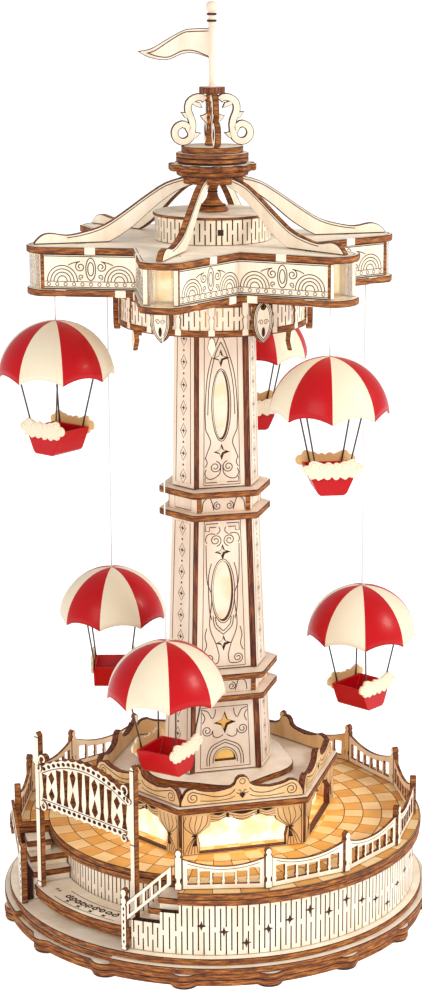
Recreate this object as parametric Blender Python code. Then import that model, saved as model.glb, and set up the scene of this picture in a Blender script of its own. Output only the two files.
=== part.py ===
"""Parachute drop tower: a laser-cut plywood model with six lifting parachutes. Metres, +Z up, origin under its middle."""

import math

import bmesh
import bpy
from mathutils import Matrix, Vector

MM = 0.001

# Driving dimensions, in millimetres. Angles are in degrees from the front (-Y) towards +X.
PLY = 3.0
GAP = 0.3
PLATE_R = 100.0
RING_R = 102.6
RING_STRETCH = (-42.0, 279.0)
APRON_R = 101.4
APRON_LOW = 0.8
FOOT_R = 97.2
FOOT_SIDE = 6.8
FEET = 16
RING_Z = 7.2
PLATE_Z = 10.5
DECK_R = 99.3
DECK_TOP = 44.4
WALL_R = 96.0
BAY = 24.0
POST_R = 95.2
POST_SIDE = 3.6
POST_HIGH = 19.4
ENTRY = -60.0
ENTRY_HALF = 36.0
LANDING_ENDS = {-1: -82.0, 1: -36.2}
LANDING_TOP = 22.0
BITE_R = 80.5
INNER_WALL_R = 74.0
STEPS = 4
FLIGHT_R = 92.7
GATE = -58.6
GATE_R = 90.0
GATE_HALF = 21.2
GATE_HIGH = 76.7
PAVILION_R = 59.9
PAVILION_TOP = 65.0
ROOF_PLATE_R = 39.0
TOWER_FOOT = 71.9
COLLARS = ((108.3, 121.5, 25.5), (195.0, 208.6, 22.5))
FRIEZE = (283.7, 299.8)
FRIEZE_R = 43.5
STAR_LOW = 300.1
STAR_TOP = 322.0
ARM_END = 82.0
ARM_HALF = 9.0
STAR_CORNER = 49.0
DRUM = (322.3, 333.3)
DRUM_R = 26.4
CAP = (351.0, 364.0)
SCROLL_TOP = 386.8
POLE_TOP = 425.0
STRING_R = 73.3
CANOPY_R = 26.5
CANOPY_HIGH = 25.5
HULL_TOP = -49.0
HULL_LOW = -60.5

# Each parachute: its arm's angle, the height of its crown at rest, and the turn of its basket.
PARACHUTES = (
    ("left", -90.0, 287.5, 36.0),
    ("front", -31.2, 152.3, -44.0),
    ("front_right", 30.0, 276.8, 83.0),
    ("right", 90.0, 152.3, -56.0),
    ("back", 150.0, 280.0, 80.0),
    ("back_left", -150.0, 152.3, -14.0),
)

for old in list(bpy.data.objects):
    bpy.data.objects.remove(old, do_unlink=True)


def material(name, colour, roughness, metallic=0.0):
    made = bpy.data.materials.new(name)
    made.use_nodes = True
    shader = made.node_tree.nodes["Principled BSDF"]
    shader.inputs["Base Color"].default_value = (*colour, 1.0)
    shader.inputs["Roughness"].default_value = roughness
    shader.inputs["Metallic"].default_value = metallic
    return made


BIRCH = material("birch_plywood", (0.88, 0.76, 0.58), 0.6)
RED = material("red_plastic", (0.58, 0.01, 0.015), 0.35)
CREAM = material("cream_plastic", (0.87, 0.77, 0.58), 0.4)
CLEAR = material("clear_sheet", (0.95, 0.93, 0.86), 0.15)
STEEL = material("steel_wire", (0.35, 0.35, 0.36), 0.35, 1.0)
THREAD = material("pale_thread", (0.8, 0.8, 0.8), 0.7)


def polar(radius, angle, height=0.0):
    turn = math.radians(angle)
    return Vector((radius * math.sin(turn), -radius * math.cos(turn), height)) * MM


def finish(name, bm, look, smooth=False):
    bmesh.ops.remove_doubles(bm, verts=bm.verts, dist=1e-6)
    bmesh.ops.recalc_face_normals(bm, faces=bm.faces)
    mesh = bpy.data.meshes.new(name)
    bm.to_mesh(mesh)
    bm.free()
    mesh.materials.append(look)
    if smooth:
        mesh.shade_smooth()
        mesh.set_sharp_from_angle(angle=math.radians(35))
    obj = bpy.data.objects.new(name, mesh)
    bpy.context.scene.collection.objects.link(obj)
    return obj


def helper(obj):
    obj.hide_render = True
    obj.display_type = "WIRE"
    return obj


def boolean(obj, other, operation):
    modifier = obj.modifiers.new(operation.lower(), "BOOLEAN")
    modifier.operation = operation
    modifier.solver = "EXACT"
    modifier.object = helper(other)
    return obj


def boolean_group(obj, others, operation):
    """One Boolean with several shapes at once; joined shapes may overlap each other."""
    group = bpy.data.collections.new(obj.name + "_" + operation.lower())
    for other in others:
        group.objects.link(helper(other))
    modifier = obj.modifiers.new(operation.lower(), "BOOLEAN")
    modifier.operation = operation
    modifier.solver = "EXACT"
    modifier.operand_type = "COLLECTION"
    modifier.collection = group
    return obj


def prism(bm, outline, low, high):
    """A plate from an outline of (x, y) vectors in metres, between two heights in millimetres."""
    ring = [bm.verts.new((p[0], p[1], low * MM)) for p in outline]
    face = bm.faces.new(ring)
    made = bmesh.ops.extrude_face_region(bm, geom=[face])
    top = [item for item in made["geom"] if isinstance(item, bmesh.types.BMVert)]
    bmesh.ops.translate(bm, verts=top, vec=(0, 0, (high - low) * MM))


def plate(name, outline, low, high, look=BIRCH):
    bm = bmesh.new()
    prism(bm, outline, low, high)
    return finish(name, bm, look)


def circle(radius, steps=72, start=0.0, end=360.0):
    """Points of an arc; a whole turn leaves its last point out."""
    whole = abs(end - start) >= 360.0
    count = steps if whole else steps + 1
    return [polar(radius, start + (end - start) * i / steps).xy for i in range(count)]


def sector(inner, outer, start, end, steps):
    """The outline of a stretch of a ring."""
    return circle(outer, steps, start, end) + circle(inner, steps, start, end)[::-1]


def ring(name, profile, steps=72, look=BIRCH, smooth=False):
    """A turned ring from a closed (radius, height) profile in millimetres."""
    bm = bmesh.new()
    points = [bm.verts.new((r * MM, 0, z * MM)) for r, z in profile]
    edges = [bm.edges.new((points[i], points[(i + 1) % len(points)])) for i in range(len(points))]
    bmesh.ops.spin(
        bm, geom=points + edges, axis=(0, 0, 1), cent=(0, 0, 0), angle=math.tau, steps=steps, use_merge=True
    )
    return finish(name, bm, look, smooth)


def turned(name, profile, steps=32, look=BIRCH):
    """A turned solid whose profile starts and ends on the axis."""
    bm = bmesh.new()
    points = [bm.verts.new((r * MM, 0, z * MM)) for r, z in profile]
    edges = [bm.edges.new(pair) for pair in zip(points, points[1:])]
    bmesh.ops.spin(
        bm, geom=points + edges, axis=(0, 0, 1), cent=(0, 0, 0), angle=math.tau, steps=steps, use_merge=True
    )
    return finish(name, bm, look, True)


def facing(angle, distance, height):
    """The frame of a board that faces outwards: local x runs right along it, local y up, local z out."""
    turn = math.radians(angle)
    across = Vector((math.cos(turn), math.sin(turn), 0))
    out = Vector((math.sin(turn), -math.cos(turn), 0))
    frame = Matrix.Identity(4)
    frame.col[0][:3] = across
    frame.col[1][:3] = (0, 0, 1)
    frame.col[2][:3] = out
    frame.translation = out * distance * MM + Vector((0, 0, height * MM))
    return frame


def board(name, outline, thick, frame, look=BIRCH):
    """A flat board: outline in millimetres in its own plane, its back on the frame's origin plane."""
    bm = bmesh.new()
    prism(bm, [Vector(p) * MM for p in outline], 0, thick)
    obj = finish(name, bm, look)
    obj.matrix_world = frame
    return obj


def oval(half_wide, half_high, steps=20, centre=(0, 0)):
    turn = math.tau / steps
    return [
        (centre[0] + half_wide * math.cos(turn * i), centre[1] + half_high * math.sin(turn * i))
        for i in range(steps)
    ]


def star_points(tips, far, near, centre=(0, 0)):
    turn = math.pi / tips
    sizes = (far, near)
    return [
        (centre[0] + sizes[i % 2] * math.sin(turn * i), centre[1] + sizes[i % 2] * math.cos(turn * i))
        for i in range(2 * tips)
    ]


# Feet: a ring apron with sixteen rounded feet that stand out past it.
foot_ring = plate("foot_ring", circle(APRON_R), APRON_LOW, RING_Z - GAP)
feet = []
for i in range(FEET):
    foot = plate(f"foot_shape_{i}", circle(FOOT_SIDE, 16), 0, RING_Z - GAP)
    foot.location = polar(FOOT_R, 360.0 * i / FEET)
    feet.append(foot)
boolean_group(foot_ring, feet, "UNION")
boolean(foot_ring, plate("foot_ring_middle", circle(84.0), -1.0, 12.0), "DIFFERENCE")

# The base: two plates, the slit wall between them and the deck, and the deck with its entry cut back.
ring_start, ring_end = RING_STRETCH
plate(
    "base_ring",
    circle(RING_R, 107, ring_start, ring_end) + circle(PLATE_R, 13, ring_end, 360.0 + ring_start),
    RING_Z,
    PLATE_Z - GAP,
)
plate("base_plate", circle(PLATE_R), PLATE_Z, PLATE_Z + PLY)
base_top = PLATE_Z + PLY + GAP
deck_low = DECK_TOP - 2 * PLY
wall_start = ENTRY + ENTRY_HALF
wall_end = 360.0 + ENTRY - ENTRY_HALF
plate(
    "deck",
    circle(DECK_R, 72, wall_start, wall_end) + circle(BITE_R, 18, wall_end, 360.0 + wall_start),
    deck_low,
    DECK_TOP,
)
plate(
    "inner_wall",
    sector(INNER_WALL_R - PLY, INNER_WALL_R, ENTRY - ENTRY_HALF + 0.4, ENTRY + ENTRY_HALF - 0.4, 18),
    base_top,
    deck_low - GAP,
)

# The landing and the two flights up to the deck.
plate(
    "landing",
    sector(INNER_WALL_R + GAP, WALL_R - 3.5, LANDING_ENDS[-1] + GAP, LANDING_ENDS[1] - GAP, 14),
    base_top,
    LANDING_TOP,
)
rise = (DECK_TOP - LANDING_TOP) / STEPS


def flight(name, side):
    """Steps rise from the landing to the deck, towards one side of the entry."""
    first = LANDING_ENDS[side]
    last = ENTRY + side * (ENTRY_HALF - 0.4)
    going = (last - first) / STEPS
    whole = plate(
        name,
        sector(BITE_R + GAP, FLIGHT_R, first, last, 4),
        base_top,
        LANDING_TOP + rise,
    )
    blocks = []
    for step in range(1, STEPS - 1):
        block = plate(
            f"{name}_step_{step}",
            sector(BITE_R + GAP, FLIGHT_R, first + going * step, last, 4),
            base_top + 1.0,
            LANDING_TOP + rise * (step + 1),
        )
        blocks.append(block)
    boolean_group(whole, blocks, "UNION")
    return whole


flight("left_flight", -1)
flight("right_flight", 1)

# The base wall runs on past the deck's ends and steps down beside each flight.
base_wall = plate("base_wall", sector(WALL_R - PLY, WALL_R, wall_start, wall_end, 72), base_top, deck_low - GAP)
WALL_STEPS = ((0.0, 5.2, 33.2), (5.2, 13.4, 27.6))
cheeks = []
for side, end in ((1, wall_start), (-1, wall_end)):
    for order, (near, far, top) in enumerate(WALL_STEPS):
        edges = (end - side * (far + 0.01), end - side * (near - 0.02))
        cheeks.append(plate(f"cheek_{side}_{order}", sector(WALL_R - PLY, WALL_R, *edges, 3), base_top, top))
boolean_group(base_wall, cheeks, "UNION")


# The fence: posts on the deck's edge with sagging panels between them, pierced between the balusters.
RAIL_END = 15.0
RAIL_SAG = 4.5
SLOTS = 6
SLOT_WIDE = 3.2


def rail_height(x, chord):
    return RAIL_END - RAIL_SAG * (1 - (2 * x / chord) ** 2)


def fence_panel(name, angle, cut_end):
    chord = 2 * POST_R * math.sin(math.radians(BAY / 2))
    right = chord / 2 - (POST_SIDE / 2 + GAP if cut_end else 0)
    outline = [(-chord / 2, 0), (right, 0)]
    for k in range(9):
        x = right - (right + chord / 2) * k / 8
        outline.append((x, rail_height(x, chord)))
    middle = POST_R * math.cos(math.radians(BAY / 2))
    frame = facing(angle, middle - PLY / 4, DECK_TOP + GAP)
    panel = board(name, outline, PLY / 2, frame)
    slots = []
    for k in range(SLOTS):
        x = (k - (SLOTS - 1) / 2) * chord * 0.82 / SLOTS
        left, top = x - SLOT_WIDE / 2, rail_height(x, chord) - 2.6
        shape = ((left, 2.4), (left + SLOT_WIDE, 2.4), (left + SLOT_WIDE, top), (left, top))
        slots.append(board(f"{name}_slot_{k}", shape, 6, frame @ Matrix.Translation((0, 0, -0.002))))
    return boolean_group(panel, slots, "DIFFERENCE")


def fence(name, first, count, last_post):
    """A run of panels and posts; the post after the last panel belongs to the next run."""
    shapes = []
    for i in range(count + last_post):
        foot = Matrix.Translation(polar(POST_R, first + BAY * i, DECK_TOP + GAP))
        side = oval(POST_SIDE / 2, POST_SIDE / 2, 8)
        shapes.append(board(f"{name}_post_{i}", side, POST_HIGH, foot))
    for i in range(count):
        cut_end = i == count - 1 and not last_post
        shapes.append(fence_panel(f"{name}_panel_{i}", first + BAY * (i + 0.5), cut_end))
    boolean_group(shapes[0], shapes[1:], "UNION").name = name


for order, name in enumerate(("front_fence", "right_fence", "back_fence", "left_fence")):
    fence(name, wall_start + 3 * BAY * order, 3, order == 3)

# Stair rails: a newel on the base plate and a slanting pierced rail up to the fence.
RAIL_R = 97.2
NEWEL_HIGH = 29.5


def stair_rail(name, newel_angle, stop):
    """The stop is the rail's upper end at the fence; its board always lies on the outer side of its chord."""
    foot = Matrix.Translation(polar(RAIL_R + 0.6, newel_angle, base_top))
    newel = board(name, oval(1.8, 1.8, 8), NEWEL_HIGH, foot)
    start, end = sorted((newel_angle, stop))
    run = (polar(RAIL_R, end) - polar(RAIL_R, start)).length / MM
    frame = facing((start + end) / 2, RAIL_R * math.cos(math.radians((end - start) / 2)), 0)
    low, high, climb = 27.2, 36.0, 21.0
    rising = 1 if stop > newel_angle else -1
    corners = ((-run / 2, low), (run / 2, low + climb), (run / 2, high + climb), (-run / 2, high))
    rail = board(name + "_rail", [(x * rising, z) for x, z in corners], PLY / 2, frame)
    holes = []
    for k in range(4):
        x = run * ((k + 0.7) / 4.6 - 0.5)
        base = low + climb * (x / run + 0.5) + 2.0
        hole = ((x - 1.4, base), (x + 1.4, base + 1.6), (x + 1.4, base + 6.2), (x - 1.4, base + 4.6))
        outline = [(hx * rising, hz) for hx, hz in hole]
        holes.append(board(f"{name}_hole_{k}", outline, 6, frame @ Matrix.Translation((0, 0, -0.002))))
    boolean_group(rail, holes, "DIFFERENCE")
    boolean(newel, rail, "UNION")


stair_rail("left_stair_rail", -81.5, -94.5)
stair_rail("right_stair_rail", -38.7, -25.5)

# The entry gate: two poles on the landing with an arched sign between them.
SIGN = (62.5, 82.0, 10.0)


def gate():
    half = GATE_R * math.sin(math.radians(GATE_HALF)) - 0.6
    frame = facing(GATE, GATE_R * math.cos(math.radians(GATE_HALF)) - PLY / 2, 0)
    low, high, rise = SIGN
    outline = [(-half, low), (half, low)]
    for k in range(17):
        x = half - 2 * half * k / 16
        outline.append((x, high + rise * (1 - (x / half) ** 2)))
    sign = board("gate", outline, PLY, frame)
    poles = []
    for side in (-1, 1):
        x = side * half
        foot = LANDING_TOP + GAP
        top = foot + GATE_HIGH
        shape = ((x - PLY / 2, foot), (x + PLY / 2, foot), (x + PLY / 2, top), (x - PLY / 2, top))
        poles.append(board(f"gate_pole_{side}", shape, PLY + 0.4, frame @ Matrix.Translation((0, 0, -0.0002))))
    boolean_group(sign, poles, "UNION")


gate()


# The pavilion: six walls with a stage window each, a cornice, scrolled crests and a lobed roof plate.
def polygon(radius, sides, first):
    return [polar(radius, first + 360.0 * i / sides).xy for i in range(sides)]


WINDOW = (20.5, 46.8, 62.2)
walls = plate("pavilion_walls", polygon(PAVILION_R, 6, 30), DECK_TOP + GAP, PAVILION_TOP)
hollow = plate("pavilion_hollow", polygon(PAVILION_R - PLY / math.cos(math.radians(30)), 6, 30), 40.0, 70.0)
boolean(walls, hollow, "DIFFERENCE")
openings = []
half, low, high = WINDOW
shape = ((-half, low), (half, low), (half, high), (-half, high))
for k in range(6):
    openings.append(board(f"pavilion_window_{k}", shape, 12, facing(60.0 * k, 46.0, 0)))
boolean_group(walls, openings, "DIFFERENCE")
cornice_low = PAVILION_TOP + GAP
cornice_top = cornice_low + PLY
plate("pavilion_cornice", polygon(PAVILION_R + 1.8, 6, 30), cornice_low, cornice_top)

CREST_R = 59.0
CREST = ((29.5, 0), (29.5, 5.5), (27, 7.6), (23, 7.4), (18, 4.6), (12, 4.4), (7, 6.0), (4, 9.0), (2, 12.2))
crest_low = cornice_top + GAP
crests = []
crest_outline = list(CREST) + [(-x, y) for x, y in reversed(CREST)]
for k in range(6):
    frame = facing(60.0 * k, CREST_R * math.cos(math.radians(30)) - PLY, crest_low)
    crests.append(board(f"crest_{k}", crest_outline, PLY, frame))
boolean_group(crests[0], crests[1:], "UNION").name = "pavilion_crests"

lobed = []
for i in range(60):
    angle = 360.0 * i / 60
    lobed.append(polar(ROOF_PLATE_R + 2.5 + 2.5 * math.cos(math.radians(6 * angle)), angle).xy)
plate("roof_plate", lobed, crest_low, crest_low + PLY)

# The tower: three tapering six-sided storeys, wide faces in front and narrow faces between them.
TOWER = (
    ("lower_storey", TOWER_FOOT, 108.0, (20.2, 24.4), (18.9, 22.6)),
    ("middle_storey", 121.8, 194.7, (18.1, 21.5), (16.2, 18.9)),
    ("upper_storey", 208.9, 283.4, (15.9, 18.5), (14.6, 17.2)),
)


def tower_outline(wide, narrow):
    """The plan of a storey from the distances of its wide and its narrow faces from the axis."""
    half = (narrow - wide / 2) / math.cos(math.radians(30))
    points = []
    for k in range(3):
        turn = math.radians(120.0 * k)
        out = Vector((math.sin(turn), -math.cos(turn)))
        across = Vector((math.cos(turn), math.sin(turn)))
        points.append((out * wide - across * half) * MM)
        points.append((out * wide + across * half) * MM)
    return points


def storey(name, low, high, at_foot, at_head, windows):
    bm = bmesh.new()
    loops = []
    for inset, z, (wide, narrow) in ((0, low, at_foot), (0, high, at_head), (PLY, high, at_head), (PLY, low, at_foot)):
        loops.append([bm.verts.new((*p, z * MM)) for p in tower_outline(wide - inset, narrow - inset)])
    for i, near in enumerate(loops):
        after = loops[(i + 1) % 4]
        for k in range(6):
            bm.faces.new((near[k], near[(k + 1) % 6], after[(k + 1) % 6], after[k]))
    shell = finish(name, bm, BIRCH)
    cutters = []
    for k in range(3):
        for i, outline in enumerate(windows):
            cutters.append(board(f"{name}_window_{k}_{i}", outline, 16, facing(120.0 * k, 10.0, 0)))
    boolean_group(shell, cutters, "DIFFERENCE")


half_moon = [(x, y) for x, y in oval(4.8, 5.6, 20, (0, 76.6)) if y >= 76.5]
WINDOWS = (
    (star_points(4, 4.5, 1.9, (0, 95.8)), half_moon),
    (oval(4.6, 14.3, 20, (0, 159.7)), star_points(4, 3.3, 1.5, (0, 178.7)), star_points(4, 3.3, 1.5, (0, 136.5))),
    (oval(3.7, 15.8, 20, (0, 247.3)), star_points(4, 3.8, 1.6, (0, 269.1)), star_points(4, 3.0, 1.4, (0, 225.8))),
)
for row, windows in zip(TOWER, WINDOWS):
    storey(*row, windows)


def rounded(corners, radius, steps=4):
    """The same outline with its corners rounded; corners in metres, radius in millimetres."""
    points = []
    for i, corner in enumerate(corners):
        before = (corners[i - 1] - corner).normalized()
        after = (corners[(i + 1) % len(corners)] - corner).normalized()
        half_angle = before.angle(after) / 2
        reach = radius * MM / math.tan(half_angle)
        centre = corner + (before + after).normalized() * radius * MM / math.sin(half_angle)
        start, end = corner + before * reach - centre, corner + after * reach - centre
        swing = start.angle_signed(end)
        for k in range(steps + 1):
            turned_by = Matrix.Rotation(-swing * k / steps, 2)
            points.append(centre + turned_by @ start)
    return points


# Collars: two rounded plates with a short band between them, glued as one.
for order, (low, high, wide) in enumerate(COLLARS, 1):
    name = f"collar_{order}"
    collar = plate(name, rounded(tower_outline(wide, wide + 2.0), 3.0), low, low + PLY)
    top = plate(name + "_top", rounded(tower_outline(wide, wide + 2.0), 3.0), high - PLY, high)
    band = plate(name + "_band", rounded(tower_outline(wide - 4.5, wide - 2.5), 1.0), low + 1, high - 1)
    boolean_group(collar, [top, band], "UNION")

# The frieze under the star: a slit band between two ring plates, with six cartouche boards.
frieze_low, frieze_high = FRIEZE
profile = (
    (0, frieze_low),
    (FRIEZE_R, frieze_low),
    (FRIEZE_R, frieze_low + PLY),
    (FRIEZE_R - 0.8, frieze_low + PLY),
    (FRIEZE_R - 0.8, frieze_high - PLY),
    (FRIEZE_R, frieze_high - PLY),
    (FRIEZE_R, frieze_high),
    (30.0, frieze_high),
    (30.0, frieze_high - PLY),
    (FRIEZE_R - 0.8 - PLY, frieze_high - PLY),
    (FRIEZE_R - 0.8 - PLY, frieze_low + PLY),
    (0, frieze_low + PLY),
)
frieze = turned("frieze", profile, 40)
cartouches = []
for k in range(6):
    frame = facing(15 + 60.0 * k, FRIEZE_R - 1.2, 290.2)
    cartouches.append(board(f"cartouche_{k}", oval(4.9, 9.7, 12), PLY + 0.8, frame))
boolean_group(frieze, cartouches, "UNION")


# The star: two six-armed plates with panelled walls and a clear liner between them.
def star_outline(inset, round_end=True):
    """Six arms with rounded ends, drawn in by an inset in millimetres."""
    points = []
    for k in range(6):
        middle = 30.0 + 60.0 * k
        turn = math.radians(middle)
        out = Vector((math.sin(turn), -math.cos(turn)))
        across = Vector((math.cos(turn), math.sin(turn)))
        points.append(polar(STAR_CORNER - inset * 1.1, middle - 30).xy)
        half, bulge = ARM_HALF - inset * 0.75, 3.5
        for step in range(7):
            t = step / 3 - 1
            points.append((out * (ARM_END - inset + bulge * (1 - t * t)) + across * half * t) * MM)
    return points


plate("star_lower_plate", star_outline(0), STAR_LOW, STAR_LOW + PLY)
plate("star_upper_plate", star_outline(0), STAR_TOP - PLY, STAR_TOP)
wall_low, wall_high = STAR_LOW + PLY + GAP, STAR_TOP - PLY - GAP
star_walls = plate("star_walls", star_outline(2.5), wall_low, wall_high)
boolean(star_walls, plate("star_walls_inside", star_outline(5.5), 300.0, 325.0), "DIFFERENCE")
panes = []
for k in range(6):
    shape = ((-6.4, wall_low + 1.5), (6.4, wall_low + 1.5), (6.4, wall_high - 1.5), (-6.4, wall_high - 1.5))
    panes.append(board(f"pane_opening_{k}", shape, 20, facing(30 + 60.0 * k, 72.0, 0)))
boolean_group(star_walls, panes, "DIFFERENCE")
liner = plate("window_liner", star_outline(5.9), wall_low, wall_high, CLEAR)
boolean(liner, plate("window_liner_inside", star_outline(6.9), 300.0, 325.0), "DIFFERENCE")

# The roof: a slit drum with a lid, a turned baluster, and six swept ribs that carry the cap.
drum_low, drum_high = DRUM
turned(
    "roof_drum",
    ((0, drum_high + 1.2), (DRUM_R + 0.8, drum_high + 1.2), (DRUM_R + 0.8, drum_high), (DRUM_R, drum_high),
     (DRUM_R, drum_low), (0, drum_low)),
    40,
)
turned(
    "baluster",
    ((0, 350.7), (3.6, 350.7), (3.6, 346.5), (2.6, 345.5), (2.3, 343), (3.0, 340), (5.4, 337.4), (7.2, 335.4),
     (7.2, 334.8), (0, 334.8)),
    14,
)
RIB = (
    (8, 350.7), (12.5, 350.4), (21.9, 347.9), (31.4, 342.2), (41, 335.6), (50.6, 329.8), (60, 327.0), (67.5, 325.9),
    (74.5, 327.0), (78.5, 326.3), (81.5, 323.9), (82.5, 322.3), (48.3, 322.3), (43.4, 324.8), (36.2, 329.6),
    (26.7, 337.6), (17.2, 344.0), (8, 347.5),
)
rib_hub = ring("roof_ribs", ((7.5, 347.5), (14, 347.5), (14, 350.7), (7.5, 350.7)), 24)
ribs = []
for k in range(6):
    frame = facing(30 + 60.0 * k - 90, -PLY / 2, 0)
    ribs.append(board(f"rib_{k}", RIB, PLY, frame))
boolean_group(rib_hub, ribs, "UNION")

# The cap: stacked discs, crossed scroll brackets, and the flagpole with its ball and pennant.
cap_low, cap_high = CAP
turned(
    "cap",
    ((0, cap_high), (14.0, cap_high), (14.0, 361.0), (16.5, 361.0), (16.5, 357.0), (15.5, 357.0), (15.5, 356.2),
     (20.0, 356.2), (20.0, 353.2), (16.3, 353.2), (16.3, cap_low), (0, cap_low)),
    28,
)
SCROLL = (
    (0, 0), (14.5, 0), (17.4, 2.0), (18.2, 5.5), (17.0, 9.3), (13.5, 10.8), (10.2, 11.4), (11.2, 15.0), (11.6, 18.8),
    (10.0, 21.6), (7.0, 22.5), (0, 22.5),
)
scroll_low = cap_high + GAP
scroll_outline = list(SCROLL) + [(-x, y) for x, y in reversed(SCROLL[1:-1])]
scrolls = []
for k in range(2):
    scrolls.append(board(f"scroll_{k}", scroll_outline, PLY, facing(-14.0 + 90.0 * k, -PLY / 2, scroll_low)))
boolean_group(scrolls[0], scrolls[1:], "UNION").name = "cap_scrolls"
ball = [(2.7 * math.sin(math.radians(a)), POLE_TOP + 2.7 * math.cos(math.radians(a))) for a in range(0, 145, 24)]
pole = turned(
    "flagpole",
    [(0, POLE_TOP + 2.7)] + ball[1:] + [(1.56, POLE_TOP - 2.2), (1.56, 390.1), (5.9, 390.1), (5.9, 387.1), (0, 387.1)],
    12,
)
FLAG = (
    (1.0, 415.8), (-8, 415.6), (-12.6, 414.9), (-20, 411.0), (-27, 407.0), (-33.2, 405.7), (-28, 402.9),
    (-20.2, 401.8), (-13, 404.5), (-7, 404.6), (1.0, 401.8),
)
boolean(pole, board("flag", FLAG, 1.5, facing(-14, -0.75, 0)), "UNION")


# The parachutes: a domed canopy, a hull on four wires, and the thread that each hangs from.
def hull_loop(bm, half_long, half_wide, z):
    side = [(half_long, half_wide), (-half_long, half_wide), (-half_long, -half_wide), (half_long, -half_wide)]
    return [bm.verts.new((x * MM, y * MM, z * MM)) for x, y in side]


def canopy(name, place):
    wall = 1.4
    outer, inner = [], []
    for k in range(7):
        t = math.radians(90.0 * k / 6)
        outer.append((CANOPY_R * math.sin(t), -CANOPY_HIGH * (1 - math.cos(t))))
        inner.append(((CANOPY_R - wall) * math.sin(t), -wall - (CANOPY_HIGH - wall) * (1 - math.cos(t))))
    shell = turned(name, outer + inner[::-1], 16, RED)
    shell.location = place
    return shell


# Half of a cloud board that rides on each end of a hull, from its bottom edge round to the top.
CLOUD = (
    (9.0, -52.0), (11.6, -51.2), (12.9, -49.4), (12.7, -48.0), (13.7, -46.4), (13.2, -44.2), (11.2, -43.2),
    (9.6, -43.4), (8.6, -41.6), (6.4, -40.6), (4.2, -41.2), (2.6, -40.2),
)


def gondola(name, place, turn):
    bm = bmesh.new()
    loops = [
        hull_loop(bm, 9.4, 5.2, HULL_LOW),
        hull_loop(bm, 9.4, 6.5, HULL_LOW + 1.0),
        hull_loop(bm, 9.4, 10.9, HULL_TOP),
        hull_loop(bm, 8.2, 9.7, HULL_TOP),
        hull_loop(bm, 8.2, 5.6, HULL_LOW + 1.6),
    ]
    for near, after in zip(loops, loops[1:]):
        for k in range(4):
            bm.faces.new((near[k], near[(k + 1) % 4], after[(k + 1) % 4], after[k]))
    bm.faces.new(loops[0])
    bm.faces.new(loops[-1])
    hull = finish(name, bm, RED)
    spin = Matrix.Translation(place) @ Matrix.Rotation(math.radians(turn), 4, "Z")
    hull.matrix_world = spin
    cloud_outline = list(CLOUD) + [(-x, z) for x, z in reversed(CLOUD)]
    fittings = []
    for side_x in (-1, 1):
        for side_y in (-1, 1):
            foot = Vector((side_x * 8.8, side_y * 7.2, HULL_TOP)) * MM
            head = Vector((side_x * 13.6, side_y * 14.4, -12.5)) * MM
            wire_bm = bmesh.new()
            bmesh.ops.create_cone(
                wire_bm, segments=6, radius1=0.5 * MM, radius2=0.5 * MM, depth=(head - foot).length, cap_ends=True
            )
            wire = finish(f"{name}_wire_{side_x}_{side_y}", wire_bm, STEEL)
            aim = (head - foot).to_track_quat("Z", "Y").to_matrix().to_4x4()
            wire.matrix_world = spin @ Matrix.Translation((head + foot) / 2) @ aim
            fittings.append(wire)
        trim = board(f"{name}_cloud_{side_x}", cloud_outline, 1.4, facing(90.0 * side_x, 9.2, 0), CREAM)
        trim.matrix_world = spin @ trim.matrix_world
        fittings.append(trim)
    boolean_group(hull, fittings, "UNION")


for label, angle, crown, turn in PARACHUTES:
    place = polar(STRING_R, angle, crown)
    canopy(f"canopy_{label}", place)
    gondola(f"gondola_{label}", place, turn)
    thread = turned(
        f"string_{label}", ((0, STAR_LOW - GAP), (0.4, STAR_LOW - GAP), (0.4, crown + GAP), (0, crown + GAP)), 8, THREAD
    )
    thread.location = polar(STRING_R, angle)
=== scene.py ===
import math

import bmesh
import bpy
from mathutils import Matrix, Vector


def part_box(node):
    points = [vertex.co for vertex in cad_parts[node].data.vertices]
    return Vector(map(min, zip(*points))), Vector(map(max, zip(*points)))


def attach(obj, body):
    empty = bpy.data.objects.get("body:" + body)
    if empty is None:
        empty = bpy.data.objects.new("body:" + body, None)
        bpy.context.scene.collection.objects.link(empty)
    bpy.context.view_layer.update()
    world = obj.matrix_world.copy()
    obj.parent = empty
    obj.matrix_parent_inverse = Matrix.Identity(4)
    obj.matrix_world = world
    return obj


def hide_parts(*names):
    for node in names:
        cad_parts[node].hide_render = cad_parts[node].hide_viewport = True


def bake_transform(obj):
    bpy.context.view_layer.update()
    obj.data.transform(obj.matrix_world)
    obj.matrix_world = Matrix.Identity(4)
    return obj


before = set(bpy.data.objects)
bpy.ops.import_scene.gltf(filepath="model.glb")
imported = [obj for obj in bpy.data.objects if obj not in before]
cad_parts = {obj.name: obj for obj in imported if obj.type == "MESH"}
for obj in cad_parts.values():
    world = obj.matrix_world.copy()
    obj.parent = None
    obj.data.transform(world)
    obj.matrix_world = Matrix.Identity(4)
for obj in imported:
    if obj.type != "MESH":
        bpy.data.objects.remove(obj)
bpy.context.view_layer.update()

# The table and the studio. A white table top under a soft overcast room, with a large soft key from the
# upper right, as a small model is photographed for a catalogue.
MM = 0.001


def linear(code):
    """An sRGB hex colour as the linear values that a shader takes."""
    parts = [int(code[i : i + 2], 16) / 255 for i in (1, 3, 5)]
    return (*[p / 12.92 if p <= 0.04045 else ((p + 0.055) / 1.055) ** 2.4 for p in parts], 1.0)


def new_material(name):
    made = bpy.data.materials.new(name)
    made.use_nodes = True
    tree = made.node_tree
    return made, tree, tree.nodes["Principled BSDF"]


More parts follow.
